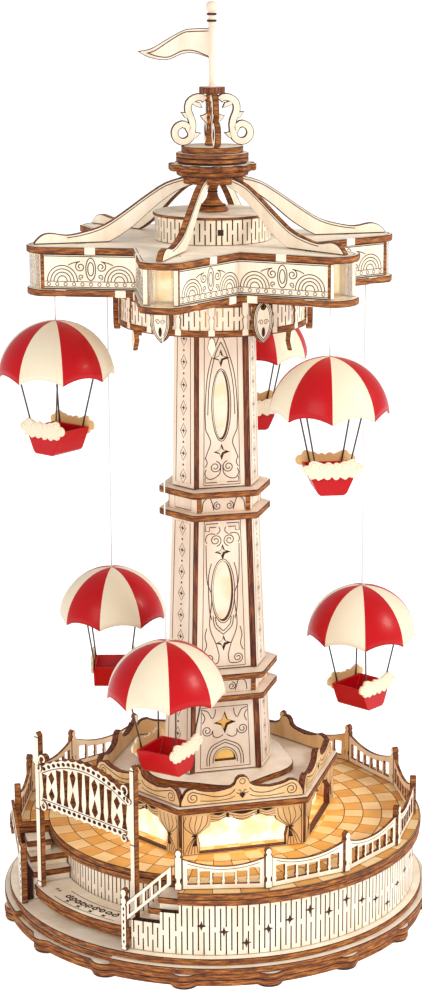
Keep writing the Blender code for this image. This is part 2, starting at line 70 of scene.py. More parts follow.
TABLE_SIDE = 60.0
bm = bmesh.new()
bmesh.ops.create_grid(bm, x_segments=1, y_segments=1, size=TABLE_SIDE / 2)
table_mesh = bpy.data.meshes.new("table_top")
bm.to_mesh(table_mesh)
bm.free()
table = bpy.data.objects.new("table_top", table_mesh)
bpy.context.scene.collection.objects.link(table)
# White acrylic lit from below: it stays pure white, and the model only draws a soft grey under itself.
acrylic, tree, shader = new_material("lit_white_acrylic")
shader.inputs["Base Color"].default_value = linear("#F2F3F6")
shader.inputs["Roughness"].default_value = 0.6
shader.inputs["Emission Color"].default_value = linear("#FFFFFF")
shader.inputs["Emission Strength"].default_value = 0.58
table_mesh.materials.append(acrylic)

room = bpy.data.worlds.new("soft_room")
room.use_nodes = True
room.node_tree.nodes["Background"].inputs["Color"].default_value = linear("#FAFBFD")
room.node_tree.nodes["Background"].inputs["Strength"].default_value = 0.66
bpy.context.scene.world = room
bpy.context.scene.view_settings.view_transform = "Standard"


def soft_light(name, place, aim, size, power, colour):
    lamp = bpy.data.lights.new(name, "AREA")
    lamp.size = size
    lamp.energy = power
    lamp.color = linear(colour)[:3]
    obj = bpy.data.objects.new(name, lamp)
    obj.location = place
    obj.rotation_euler = (Vector(aim) - Vector(place)).to_track_quat("-Z", "Y").to_euler()
    bpy.context.scene.collection.objects.link(obj)


MIDDLE = (0, 0, 0.21)
soft_light("key_light", (1.15, -0.75, 1.05), MIDDLE, 0.5, 15, "#FFFAF2")
soft_light("fill_light", (-0.9, -1.1, 0.7), MIDDLE, 0.9, 8, "#FFF4E6")

# The camera: a long lens a metre off, looking down by 14 degrees, turned 14 degrees to the left of the front.
VIEW_TURN, VIEW_DROP = math.radians(-14.0), math.radians(13.91)
VIEW_FAR, VIEW_LENS = 1.03887, 80.06
VIEW_SWING, VIEW_SHIFT = math.radians(1.24), -0.0475
aim = Vector((-1.07 * MM * math.cos(VIEW_TURN), -1.07 * MM * math.sin(VIEW_TURN), 0.2))
camera_data = bpy.data.cameras.new("camera")
camera_data.lens = VIEW_LENS
camera_data.sensor_width = 36
camera_data.clip_start = 0.05
camera = bpy.data.objects.new("camera", camera_data)
camera.location = aim + VIEW_FAR * Vector(
    (math.sin(VIEW_TURN) * math.cos(VIEW_DROP), -math.cos(VIEW_TURN) * math.cos(VIEW_DROP),
     math.sin(VIEW_DROP))
)
camera.rotation_euler = (math.pi / 2 - VIEW_DROP, 0, VIEW_TURN - VIEW_SWING)
camera_data.shift_x = VIEW_SHIFT
bpy.context.scene.collection.objects.link(camera)
bpy.context.scene.camera = camera

# The base plates. Two discs of 3 mm birch plywood, the lower one a little larger, cut by laser and glued; the
# beam leaves the faces cream, chars the cut edge brown and draws a black line along each arris.
PLY = 3.0
ARRIS = 0.32
TOWER = "tower"


def polar(radius, angle, height=0.0):
    """A point in metres; angles run from the front towards +X."""
    turn = math.radians(angle)
    return Vector((radius * math.sin(turn), -radius * math.cos(turn), height)) * MM


def on_plan(radius, angle, across=0.0):
    """A point of the plan in millimetres: out from the axis at an angle, then to the right of that line."""
    turn = math.radians(angle)
    return (radius * math.sin(turn) + across * math.cos(turn),
            across * math.sin(turn) - radius * math.cos(turn))


def arc(radius, start, end, steps):
    return [on_plan(radius, start + (end - start) * i / steps) for i in range(steps + 1)]


def circle(radius, steps=120):
    return arc(radius, 0, 360, steps)[:-1]


def area(loop):
    return sum(a[0] * b[1] - b[0] * a[1] for a, b in zip(loop, loop[1:] + loop[:1])) / 2


def level(height):
    return Matrix.Translation((0, 0, height * MM))


def raised(place, out):
    """The same place, moved out of its plane by some millimetres."""
    return place @ level(out)


def take_in(bm, part):
    """Adds a part to a piece."""
    mesh = bpy.data.meshes.new("part")
    part.to_mesh(mesh)
    part.free()
    bm.from_mesh(mesh)
    bpy.data.meshes.remove(mesh)


def cut_sheet(bm, loops, thick, place, arris=ARRIS, slots=(0, 1, 2)):
    """Adds a laser-cut sheet with an outline and holes in millimetres; it rises from the plane of its place.
    Its faces, its burnt edges and the soot line between them take three material slots."""
    curve = bpy.data.curves.new("cut", "CURVE")
    curve.dimensions = "2D"
    curve.fill_mode = "BOTH"
    curve.extrude = (thick / 2 - arris) * MM
    curve.bevel_depth = arris * MM
    curve.bevel_resolution = 0
    curve.offset = -arris * MM
    for order, loop in enumerate(loops):
        if (area(loop) > 0) != (order == 0):
            loop = loop[::-1]
        spline = curve.splines.new("POLY")
        spline.points.add(len(loop) - 1)
        for point, (x, y) in zip(spline.points, loop):
            point.co = (x * MM, y * MM, 0, 1)
        spline.use_cyclic_u = True
    outline = bpy.data.objects.new("cut", curve)
    mesh = bpy.data.meshes.new_from_object(outline)
    bpy.data.objects.remove(outline)
    part = bmesh.new()
    part.from_mesh(mesh)
    bpy.data.meshes.remove(mesh)
    bmesh.ops.remove_doubles(part, verts=part.verts, dist=1e-6)
    part.normal_update()
    for face in part.faces:
        steep = abs(face.normal.z)
        face.material_index = slots[0] if steep > 0.97 else slots[1] if steep < 0.2 else slots[2]
        face.smooth = False
    part.transform(raised(place, thick / 2))
    take_in(bm, part)


def finished(name, bm, looks, nodes=(), body=TOWER, smooth=None):
    """Turns the bmesh into a piece that rides on its body and stands for its CAD nodes."""
    mesh = bpy.data.meshes.new(name)
    bm.to_mesh(mesh)
    bm.free()
    for look in looks:
        mesh.materials.append(look)
    if smooth:
        mesh.shade_smooth()
        mesh.set_sharp_from_angle(angle=math.radians(smooth))
    piece = bpy.data.objects.new(name, mesh)
    bpy.context.scene.collection.objects.link(piece)
    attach(piece, body)
    if nodes:
        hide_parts(*nodes)


def add(tree, kind, inputs=None, **settings):
    """Adds one node: settings are its properties, and an input is a value or the socket that feeds it."""
    made = tree.nodes.new(kind)
    for key, value in settings.items():
        setattr(made, key, value)
    for key, value in (inputs or {}).items():
        if isinstance(value, bpy.types.NodeSocket):
            tree.links.new(value, made.inputs[key])
        else:
            made.inputs[key].default_value = value
    return made


def blend_colours(tree, amount, stops):
    """Hex colours over an amount from 0 to 1."""
    ramp = add(tree, "ShaderNodeValToRGB", {"Fac": amount})
    ends = ramp.color_ramp.elements
    while len(ends) < len(stops):
        ends.new(0.5)
    for element, (place, code) in zip(ends, stops):
        element.position = place
        element.color = linear(code)
    return ramp.outputs["Color"]


# The wood's figure changes about every nine millimetres.
FIGURE = 1 / (9.0 * MM)


def veneer(name, stops):
    """A sanded birch face: faint figure a few millimetres wide along the sheet, and fine pores."""
    made, tree, shader = new_material(name)
    place = add(tree, "ShaderNodeTexCoord").outputs["Object"]
    stretched = add(tree, "ShaderNodeMapping", {"Vector": place,
                                                "Scale": (1.0, 1.0, 0.22)}).outputs["Vector"]
    figure = add(tree, "ShaderNodeTexNoise", {"Vector": stretched, "Scale": FIGURE, "Detail": 5.0,
                                              "Roughness": 0.6})
    tree.links.new(blend_colours(tree, figure.outputs["Fac"], stops), shader.inputs["Base Color"])
    shader.inputs["Roughness"].default_value = 0.55
    pores = add(tree, "ShaderNodeTexNoise", {"Vector": place, "Scale": 1 / (0.8 * MM), "Detail": 3.0})
    relief = add(tree, "ShaderNodeBump", {"Height": pores.outputs["Fac"], "Strength": 0.12,
                                          "Distance": 0.1 * MM})
    tree.links.new(relief.outputs["Normal"], shader.inputs["Normal"])
    return made


# Birch plywood with a face of sanded pale sapwood: cream, with a soft darker figure.
birch = veneer("pale_birch_veneer", ((0.3, "#E9D5BC"), (0.52, "#F4E5D0"), (0.75, "#FBF2E4")))

# The streaks of the plies and of the soot change about every millimetre.
PULSE = 1 / (1.1 * MM)


def burnt_edge(name, stretch, stops):
    """The plies of a laser-cut edge: thin darker and lighter streaks, drawn out along the cut."""
    made, tree, shader = new_material(name)
    place = add(tree, "ShaderNodeTexCoord").outputs["Object"]
    plies = add(tree, "ShaderNodeMapping", {"Vector": place, "Scale": stretch}).outputs["Vector"]
    streaks = add(tree, "ShaderNodeTexNoise", {"Vector": plies, "Scale": PULSE, "Detail": 5.0,
                                               "Roughness": 0.65})
    tree.links.new(blend_colours(tree, streaks.outputs["Fac"], stops), shader.inputs["Base Color"])
    shader.inputs["Roughness"].default_value = 0.75
    relief = add(tree, "ShaderNodeBump", {"Height": streaks.outputs["Fac"], "Strength": 0.3,
                                          "Distance": 0.15 * MM})
    tree.links.new(relief.outputs["Normal"], shader.inputs["Normal"])
    return made


# The toffee brown edge of a level sheet, with the dark and light plies drawn out along it.
burnt = burnt_edge("laser_burnt_edge", (0.16, 0.16, 1.3), ((0.36, "#481D07"), (0.5, "#824410"),
                                                           (0.66, "#BA7830")))

# Charred arris: the soot line where the beam enters and leaves the sheet, and every engraved stroke. The same
# near-black also serves as painted shade in holes, gaps and recesses.
char_and_painted_shade, tree, shader = new_material("charred_line_and_painted_shade")
place = add(tree, "ShaderNodeTexCoord").outputs["Object"]
soot = add(tree, "ShaderNodeTexNoise", {"Vector": place, "Scale": PULSE, "Detail": 2.0})
tint = blend_colours(tree, soot.outputs["Fac"], ((0.35, "#240F08"), (0.75, "#4A2212")))
tree.links.new(tint, shader.inputs["Base Color"])
shader.inputs["Roughness"].default_value = 0.85
PLYWOOD = (birch, burnt, char_and_painted_shade)

RING_R, PLATE_R = 102.6, 100.0
RING_STRETCH = (-42.0, 279.0)
ring_low, plate_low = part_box("base_ring")[0][2] / MM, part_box("base_plate")[0][2] / MM
bm = bmesh.new()
ledge = arc(RING_R, *RING_STRETCH, 140) + arc(PLATE_R, RING_STRETCH[1], 360 + RING_STRETCH[0], 18)
cut_sheet(bm, [ledge], PLY, level(ring_low))
finished("base_ring_board", bm, PLYWOOD, ("base_ring",))
bm = bmesh.new()
cut_sheet(bm, [circle(PLATE_R, 160)], PLY, level(plate_low))
finished("base_plate_board", bm, PLYWOOD, ("base_plate",))

# The feet. Two ring-shaped sheets are glued up under the base; their outline swells into sixteen round feet,
# and a small round pad under each foot touches the table.
APRON_R, APRON_HOLE = 101.4, 84.0
FEET, FOOT_R, FOOT_SIDE = 16, 97.2, 6.8
foot_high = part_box("foot_ring")[1][2] / MM


def oval(half_wide, half_high, centre=(0, 0), steps=28):
    turn = math.tau / steps
    return [
        (centre[0] + half_wide * math.cos(turn * i), centre[1] + half_high * math.sin(turn * i))
        for i in range(steps)
    ]


def footed(radius, side):
    """A ring's outline that swells out round each foot."""
    loop = []
    for i in range(FEET * 26):
        angle = 360.0 * i / (FEET * 26)
        off = math.radians((angle + 180.0 / FEET) % (360.0 / FEET) - 180.0 / FEET)
        within = side**2 - (FOOT_R * math.sin(off)) ** 2
        reach = FOOT_R * math.cos(off) + math.sqrt(within) if within > 0 else 0
        loop.append(on_plan(max(radius, reach), angle))
    return loop


bm = bmesh.new()
hollow = circle(APRON_HOLE, 90)
cut_sheet(bm, [footed(APRON_R, FOOT_SIDE), hollow], PLY, level(foot_high - PLY))
cut_sheet(bm, [footed(APRON_R - 0.5, FOOT_SIDE - 0.3), hollow], PLY, level(foot_high - 2 * PLY - 0.1))
for i in range(FEET):
    pad = oval(6.0, 6.0, on_plan(FOOT_R, 360.0 * i / FEET))
    cut_sheet(bm, [pad], 0.8, level(0), 0.1, (0, 2, 2))
finished("footed_apron", bm, PLYWOOD, ("foot_ring",))

# The slit walls. A 3 mm strip of plywood bends round the base because staggered slits turn it into a hinge:
# long slits stop short of the edges, and between them short ones run in from both edges.
SLIT_PITCH, SLIT_WIDE = 2.49, 0.6
SLIT_MARGIN, SLIT_BRIDGE = 2.0, 2.4


def slit_wall(bm, radius, low, high, start, end, thick=PLY, margin=SLIT_MARGIN, bridge=SLIT_BRIDGE,
              slots=(0, 1)):
    """A bent strip from one angle to another; one long slit and two short ones take turns along it."""
    length = math.radians(abs(end - start)) * radius
    columns = max(2, round(length / SLIT_PITCH))
    step = length / columns
    tall = high - low
    rows = [0, margin, tall / 2 - bridge / 2, tall / 2 + bridge / 2, tall - margin, tall]
    xs = [0.0]
    for i in range(columns):
        xs += [i * step + (step - SLIT_WIDE) / 2, i * step + (step + SLIT_WIDE) / 2]
    xs.append(length)
    part = bmesh.new()
    grid = [[part.verts.new((x, y, 0)) for x in xs] for y in rows]
    for j in range(len(rows) - 1):
        for i in range(len(xs) - 1):
            column, in_slit = divmod(i, 2)
            open_here = j != 2 if column % 2 == 0 else 0 < j < 4
            if in_slit and open_here:
                continue
            face = part.faces.new((grid[j][i], grid[j][i + 1], grid[j + 1][i + 1], grid[j + 1][i]))
            face.material_index = slots[0]
    front = list(part.faces)
    made = bmesh.ops.extrude_face_region(part, geom=front)
    for item in made["geom"]:
        if isinstance(item, bmesh.types.BMVert):
            item.co.z = thick
    kept = {item for item in made["geom"] if isinstance(item, bmesh.types.BMFace)}
    for face in part.faces:
        if face not in kept and face not in front:
            face.material_index = slots[1]
    sense = 1 if end > start else -1
    for vert in part.verts:
        angle = start + sense * math.degrees(vert.co.x / radius)
        vert.co = polar(radius - thick + vert.co.z, angle, low + vert.co.y)
    bmesh.ops.recalc_face_normals(part, faces=part.faces)
    take_in(bm, part)


def facing(angle, distance, height=0.0, lean=0.0):
    """The place of a board that faces outwards: x runs right along it, y up, z out.
    Lean tips its top inwards."""
    turn = math.radians(angle)
    place = Matrix.Identity(4)
    place.col[0][:3] = (math.cos(turn), math.sin(turn), 0)
    place.col[1][:3] = (0, 0, 1)
    place.col[2][:3] = (math.sin(turn), -math.cos(turn), 0)
    place.translation = polar(distance, angle, height)
    return place @ Matrix.Rotation(-lean, 4, "X")


def star(tips, far, near, centre=(0, 0)):
    turn = math.pi / tips
    reach = (far, near)
    return [
        (centre[0] + reach[i % 2] * math.sin(turn * i), centre[1] + reach[i % 2] * math.cos(turn * i))
        for i in range(2 * tips)
    ]


def inlay(bm, outline, place, lift, slot=2):
    """A flat patch in a place's plane, such as a burnt-in shape, or painted shade in the mouth of a hole."""
    face = bm.faces.new([bm.verts.new(place @ (Vector((x, y, lift)) * MM)) for x, y in outline])
    if area(outline) < 0:
        face.normal_flip()
    face.material_index = slot


WALL_R, ENTRY, ENTRY_HALF = 96.0, -60.0, 36.0
LANDING_ENDS = (-82.0, -36.2)
WALL_START, WALL_END = ENTRY + ENTRY_HALF, 360.0 + ENTRY - ENTRY_HALF
# Small four-pointed stars cut over the slits, drawn as flat dark patches of painted shade in the openings;
# their heights rise and fall like a garland, every six degrees.
GARLAND = (31.0, 27.7, 24.9, 19.2, 25.0, 28.0, 31.0, 27.7)
wall_low, wall_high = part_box("base_wall")[0][2] / MM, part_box("base_wall")[1][2] / MM
bm = bmesh.new()
slit_wall(bm, WALL_R, wall_low, wall_high, WALL_START, WALL_END)
# Past the deck's ends the strip steps down beside the flights.
for side, end in ((1, WALL_START), (-1, WALL_END)):
    for near, far, top in ((0.0, 5.2, 33.2), (5.2, 13.4, 27.6)):
        slit_wall(bm, WALL_R, wall_low, top, *sorted((end - side * far, end - side * near)))
# Each star hole is a flat charred patch a little over the face: painted shade in the opening.
for i in range(1, 48):
    inlay(bm, star(4, 2.5, 0.85), facing(WALL_START + 6.0 * i, WALL_R, GARLAND[i % 8]), 0.06, 2)
finished("slit_base_wall", bm, (birch, char_and_painted_shade, char_and_painted_shade), ("base_wall",))
bm = bmesh.new()
slit_wall(bm, 74.0, wall_low, wall_high, ENTRY - ENTRY_HALF + 0.4, ENTRY + ENTRY_HALF - 0.4)
finished("slit_entry_wall", bm, (birch, char_and_painted_shade), ("inner_wall",))

# The deck. Two ring-shaped sheets, one on the other, cut back at the entry; the upper face is engraved as
# curved tiles, darkened in turn by a defocused beam, with the amber of the stage lamps painted on it.
DECK_R, BITE_R, DECK_TOP = 99.3, 80.5, 44.4
TILE_RINGS = (62.5, 71.5, 80.5, 89.5, 98.6)
TILES = 48


def stroke(bm, points, wide, place, lift, slot=2, closed=False):
    """An engraved line: a flat ribbon in a place's plane, a few hundredths of a millimetre over the face."""
    count = len(points)
    left, right = [], []
    for i, point in enumerate(points):
        before = points[i - 1] if closed or i else point
        after = points[(i + 1) % count] if closed or i < count - 1 else point
        along = (Vector(after) - Vector(before)).normalized()
        aside = Vector((-along.y, along.x)) * wide / 2
        for edge, sense in ((left, 1), (right, -1)):
            x, y = Vector(point) + aside * sense
            edge.append(bm.verts.new(place @ (Vector((x, y, lift)) * MM)))
    for i in range(count if closed else count - 1):
        after = (i + 1) % count
        face = bm.faces.new((left[i], right[i], right[after], left[after]))
        face.material_index = slot


tiles_and_painted_lamplight, tree, shader = new_material("engraved_tiles_and_painted_lamplight")
place = add(tree, "ShaderNodeTexCoord").outputs["Object"]
flat = add(tree, "ShaderNodeVectorMath", {0: place, 1: (1.0, 1.0, 0.0)},
           operation="MULTIPLY").outputs["Vector"]
reach = add(tree, "ShaderNodeVectorMath", {0: flat}, operation="LENGTH").outputs["Value"]
parts = add(tree, "ShaderNodeSeparateXYZ", {"Vector": place})
bearing = add(tree, "ShaderNodeMath", {0: parts.outputs["Y"], 1: parts.outputs["X"]},
              operation="ARCTAN2").outputs[0]
column = add(tree, "ShaderNodeMath", {0: bearing, 1: TILES / math.tau}, operation="MULTIPLY").outputs[0]
RING_STEP = 9.0 * MM
row = add(tree, "ShaderNodeMath", {0: reach, 1: 1 / RING_STEP, 2: 0.055},
          operation="MULTIPLY_ADD").outputs[0]
cell = add(tree, "ShaderNodeCombineXYZ", {"X": column, "Y": row, "Z": 0.5}).outputs["Vector"]
chequer = add(tree, "ShaderNodeTexChecker", {"Vector": cell, "Scale": 1.0}).outputs["Fac"]
figure = add(tree, "ShaderNodeTexNoise", {"Vector": place, "Scale": FIGURE, "Detail": 5.0}).outputs["Fac"]
# Both tile tones carry painted amber lamplight; the pale and the darkened tiles are the real pattern.
pale = blend_colours(tree, figure, ((0.3, "#E6BE82"), (0.7, "#F0D3A2")))
dark = blend_colours(tree, figure, ((0.3, "#CC8A38"), (0.7, "#DFA555")))
tiles = add(tree, "ShaderNodeMix", {"Factor": chequer, "A": pale, "B": dark}, data_type="RGBA")
tree.links.new(tiles.outputs["Result"], shader.inputs["Base Color"])
shader.inputs["Roughness"].default_value = 0.5
# Painted lamplight: the deck itself glows amber, more strongly nearer the pavilion.
near = add(tree, "ShaderNodeMapRange",
           {0: reach, 1: 92 * MM, 2: 54 * MM, 3: 0.0, 4: 0.45}).outputs["Result"]
shader.inputs["Emission Color"].default_value = linear("#F2A63A")
tree.links.new(near, shader.inputs["Emission Strength"])

bm = bmesh.new()
rim = arc(DECK_R, WALL_START, WALL_END, 130) + arc(BITE_R, WALL_END, 360 + WALL_START, 30)
lower = arc(DECK_R - 0.4, WALL_START, WALL_END, 130) + arc(BITE_R, WALL_END, 360 + WALL_START, 30)
cut_sheet(bm, [lower], PLY, level(DECK_TOP - 2 * PLY))
cut_sheet(bm, [rim], PLY, level(DECK_TOP - PLY), slots=(3, 1, 2))
for radius in TILE_RINGS:
    over = radius > BITE_R - 0.5
    ends = (WALL_START, WALL_END) if over else (WALL_START, 360 + WALL_START)
    stroke(bm, arc(radius, *ends, 120), 0.35, level(DECK_TOP), 0.04)
for i in range(TILES):
    angle = 90 + 360.0 * i / TILES
    beyond = WALL_START < (angle - WALL_START) % 360 + WALL_START < WALL_END
    last = TILE_RINGS[-1] if beyond else BITE_R - 0.8
    line = [on_plan(r, angle) for r in (TILE_RINGS[0] - 2, last)]
    stroke(bm, line, 0.3, level(DECK_TOP), 0.04)
finished("engraved_deck", bm, (*PLYWOOD, tiles_and_painted_lamplight), ("deck",))

# The landing and the flights. Stacked sheets: pale worn tops, burnt noses, and a recessed block underneath.
LANDING_TOP, STEPS, FLIGHT_R = 22.0, 4, 92.7
INNER_R, LANDING_R = 74.3, 92.5
# Blocks and lamps of which no edge shows have one look all round.
ONE_LOOK = (0, 0, 0)
base_top = plate_low + PLY + 0.3


def curl(centre, radius, turns, start, sense=1, tight=0.22):
    """A volute: from its rim at an angle in degrees, winding inwards by a number of turns."""
    points = []
    steps = max(6, int(abs(turns) * 16))
    for i in range(steps + 1):
        t = i / steps
        angle = math.radians(start + sense * 360 * turns * t)
        reach = radius * (1 - (1 - tight) * t)
        points.append((centre[0] + reach * math.cos(angle), centre[1] + reach * math.sin(angle)))
    return points


def sector(inner, outer, start, end, steps=16):
    return arc(outer, start, end, steps) + arc(inner, end, start, steps)


bm = bmesh.new()
first, last = LANDING_ENDS[0] + 0.3, LANDING_ENDS[1] - 0.3
cut_sheet(bm, [sector(INNER_R, LANDING_R, first, last)], PLY, level(LANDING_TOP - PLY))
cut_sheet(bm, [sector(INNER_R, LANDING_R - 0.5, first, last)], PLY, level(LANDING_TOP - 2 * PLY))
# The recessed block's sides take the charred look: painted shade under the landing.
block = sector(INNER_R + 2, LANDING_R - 5, first + 2, last - 2)
cut_sheet(bm, [block], LANDING_TOP - 2 * PLY - base_top, level(base_top), slots=(0, 2, 2))
for step in range(9):
    turn = -68.0 + 2.6 * step
    winding = curl(on_plan(84.5, turn), 1.9, 1.2, 140 * step, 1 if step % 2 else -1)
    stroke(bm, winding, 0.95, level(LANDING_TOP), 0.04)
    if step % 2:
        inlay(bm, star(4, 1.7, 0.7, on_plan(88.0, turn)), level(LANDING_TOP), 0.05)
for reach in (80.6, 89.8):
    stroke(bm, arc(reach, -71, -45, 12), 0.4, level(LANDING_TOP), 0.04)
for turn in (-75.0, -73.4, -43.0, -41.6):
    inlay(bm, star(4, 1.4, 0.5, on_plan(85.0, turn)), level(LANDING_TOP), 0.05)
finished("landing_boards", bm, PLYWOOD, ("landing",))

rise = (DECK_TOP - LANDING_TOP) / STEPS
for name, first, last in (("left_flight", -82.0, -95.6), ("right_flight", -36.2, -24.4)):
    bm = bmesh.new()
    for step in range(STEPS - 1):
        near = first + (last - first) * step / STEPS
        top = LANDING_TOP + rise * (step + 1)
        inner = BITE_R + 0.3 if step == STEPS - 2 else INNER_R
        tread = sector(inner, FLIGHT_R, near, last, 6)
        cut_sheet(bm, [tread], PLY, level(top - PLY))
        riser = sector(inner + 0.5, FLIGHT_R - 0.5, near + (0.4 if last > near else -0.4), last, 6)
        depth = top - PLY - base_top if step == 0 else rise - PLY
        cut_sheet(bm, [riser], depth, level(top - PLY - depth), slots=ONE_LOOK)
    finished(name + "_treads", bm, PLYWOOD, (name,))

# The stair rails. A newel cut like a scroll stands on the base; a slanting pierced board climbs to the fence.
RAIL_R, NEWEL_HIGH = 97.2, 29.5
RAIL_LOW, RAIL_TALL, RAIL_CLIMB = 27.2, 8.8, 21.0
# Rails, fence panels and the pennant are thinner than the rest, and engraving lies just over a face.
THIN, SCORED = 1.5, PLY + 0.04
NEWEL = ((1.4, 0), (1.4, 1.4), (1.0, 1.9), (1.4, 2.6), (1.4, 21.4), (1.0, 22.0), (1.5, 22.8), (1.5, 24.6),
         (0.8, 25.4), (1.0, 25.9), (1.6, 27.2), (1.4, 28.6), (0.6, NEWEL_HIGH))


def flipped(points):
    return [(-x, y) for x, y in points]


def whole(side):
    """A board's outline from its right side, given from foot to head."""
    return side + flipped(side)[::-1]


for name, newel_at, stop in (("left_stair_rail", -81.5, -94.5), ("right_stair_rail", -38.7, -25.5)):
    bm = bmesh.new()
    rising = 1 if stop > newel_at else -1
    half_turn = math.radians(abs(stop - newel_at) / 2)
    run = 2 * RAIL_R * math.sin(half_turn)
    place = facing((newel_at + stop) / 2, RAIL_R * math.cos(half_turn))
    corners = [(-0.5, RAIL_LOW), (0.5, RAIL_LOW + RAIL_CLIMB), (0.5, RAIL_LOW + RAIL_CLIMB + RAIL_TALL),
               (-0.5, RAIL_LOW + RAIL_TALL)]
    holes = []
    for k in range(5):
        x, wide = (k + 0.9) / 5.8 - 0.5, 1.25
        low = RAIL_LOW + RAIL_CLIMB * (x + 0.5) + 2.2
        tilt = RAIL_CLIMB * wide / run
        x *= run
        holes.append([((x - wide) * rising, low - tilt), ((x + wide) * rising, low + tilt),
                      ((x + wide) * rising, low + 4.4 + tilt), ((x - wide) * rising, low + 4.4 - tilt)])
    cut_sheet(bm, [[(x * run * rising, z) for x, z in corners], *holes], THIN, place, 0.15)
    newel = facing(newel_at, RAIL_R - 0.9)
    cut_sheet(bm, [whole([(x, base_top + z) for x, z in NEWEL])], PLY, newel)
    for z in (4.2, 7.4, 10.6, 13.8, 17.0, 20.0):
        inlay(bm, star(2, 1.1, 0.5, (0, base_top + z)), newel, SCORED)
    finished(name + "_boards", bm, PLYWOOD, (name,))

# The gate. Two tall square poles on the landing carry an arched board between them, pierced with beads,
# diamonds and slim waisted slots; small curls close its ends.
GATE, GATE_DIST, GATE_HALF = -58.6, 82.4, 31.9
SIGN_LOW, SIGN_END, SIGN_RISE = 62.5, 82.0, 10.0
POLE_TOP_GATE = 99.0


def oblong(left, low, right, high):
    return [(left, low), (right, low), (right, high), (left, high)]


def rows_of(values, count):
    """Even steps between two values, both ends included."""
    first, last = values
    return [first + (last - first) * i / (count - 1) for i in range(count)]


def sign_top(x, inset=0.0):
    return SIGN_END - inset + SIGN_RISE * (1 - (x / GATE_HALF) ** 2)


def ribbon(path, wide, tail=0.6):
    """The outline of a flat strip along a path; both its ends narrow to a share of its width."""
    left, right = [], []
    for i, point in enumerate(path):
        along = (Vector(path[min(i + 1, len(path) - 1)]) - Vector(path[max(i - 1, 0)])).normalized()
        near_end = min(i, len(path) - 1 - i) / (len(path) * 0.25)
        aside = Vector((-along.y, along.x)) * wide / 2 * (tail + (1 - tail) * min(1, near_end))
        left.append(tuple(Vector(point) + aside))
        right.append(tuple(Vector(point) - aside))
    return left + right[::-1]


bm = bmesh.new()
place = facing(GATE, GATE_DIST)
xs = rows_of((-GATE_HALF, GATE_HALF), 65)
outline = [(x, SIGN_LOW + 0.9 * abs(math.sin(x * 0.62))) for x in xs]
outline += [(x, sign_top(x, 0.9 * abs(math.sin(x * 0.62)))) for x in reversed(xs)]
pierced = []
for i in range(12):
    x = (i - 5.5) * 4.9
    low, high = SIGN_LOW + 5.2, sign_top(x, 5.6)
    if i % 3 == 1:
        middle = (low + high) / 2
        pierced.append([(x, low), (x + 1.9, low + 2.6), (x, middle - 1.0), (x - 1.9, low + 2.6)])
        pierced.append([(x, high), (x - 1.9, high - 2.6), (x, middle + 1.0), (x + 1.9, high - 2.6)])
    else:
        pierced.append([(x - 1.5, low), (x + 1.5, low), (x + 0.7, low + 4), (x + 1.5, high),
                        (x - 1.5, high), (x - 0.7, low + 4)])
for i in range(17):
    x = (i - 8) * 3.4
    pierced.append(oval(1.0, 0.75, (x, sign_top(x, 2.6)), 8))
    pierced.append(oval(1.0, 0.75, (x, SIGN_LOW + 2.7), 8))
cut_sheet(bm, [outline, *pierced], PLY, place, 0.22)
stroke(bm, [(x, sign_top(x, 4.4)) for x in xs[3:-3]], 0.4, place, SCORED)
stroke(bm, [(x, SIGN_LOW + 4.3) for x in xs[3:-3]], 0.4, place, SCORED)
for side in (-1, 1):
    x = side * GATE_HALF
    pole = [(x - 1.5, 22.3), (x + 1.5, 22.3), (x + 1.5, 97.4), (x, POLE_TOP_GATE), (x - 1.5, 97.4)]
    cut_sheet(bm, [pole], PLY, raised(place, 0.2))
    for z in (96.2, 61.0, 24.6):
        inlay(bm, oblong(x - 1.5, z, x + 1.5, z + 0.5), place, PLY + 0.25)
    for inwards, high, size, start in ((4.6, 86.6, 2.7, -60), (1.6, 82.0, 2.0, 120), (4.4, 63.6, 2.6, 60)):
        angle = start if side > 0 else 180 - start
        winding = curl((x - side * inwards, high), size, 0.95, angle, side, 0.3)
        cut_sheet(bm, [ribbon(winding, 1.2)], PLY, raised(place, 0.8), 0.15)
finished("arched_gate", bm, PLYWOOD, ("gate",))

# The fence. Pierced panels a millimetre and a half thick stand round the deck; their top rails sag between
# notched posts. The back panels take the amber birch: painted lamplight from the pavilion.
POST_R, POST_HIGH, BAY = 95.2, 19.4, 24.0
RAIL_END, RAIL_SAG, BALUSTERS = 15.0, 4.5, 6
chord = 2 * POST_R * math.sin(math.radians(BAY / 2))


def rail_height(x):
    return RAIL_END - RAIL_SAG * (1 - (2 * x / chord) ** 2)


def fence_panel(bm, angle):
    place = facing(angle, POST_R * math.cos(math.radians(BAY / 2)) - THIN / 2, DECK_TOP + 0.3)
    xs = rows_of((-chord / 2 + 1.6, chord / 2 - 1.6), 17)
    outline = [(xs[0], 0.0), (xs[-1], 0.0)] + [(x, rail_height(x)) for x in reversed(xs)]
    openings = []
    pitch = (chord - 6.4) / BALUSTERS
    for k in range(BALUSTERS):
        x = (k - (BALUSTERS - 1) / 2) * pitch
        half, low, top = pitch / 2 - 0.62, 2.3, rail_height(x) - 3.0
        side = [(half, low), (half, low + 0.7), (half - 0.35, low + 1.4), (half, low + 2.4), (half, top)]
        openings.append([(x + off, z) for off, z in whole(side)])
    cut_sheet(bm, [outline, *openings], THIN, place, 0.15)
    stroke(bm, [(x, rail_height(x) - 1.3) for x in xs[1:-1]], 0.28, place, THIN + 0.04)


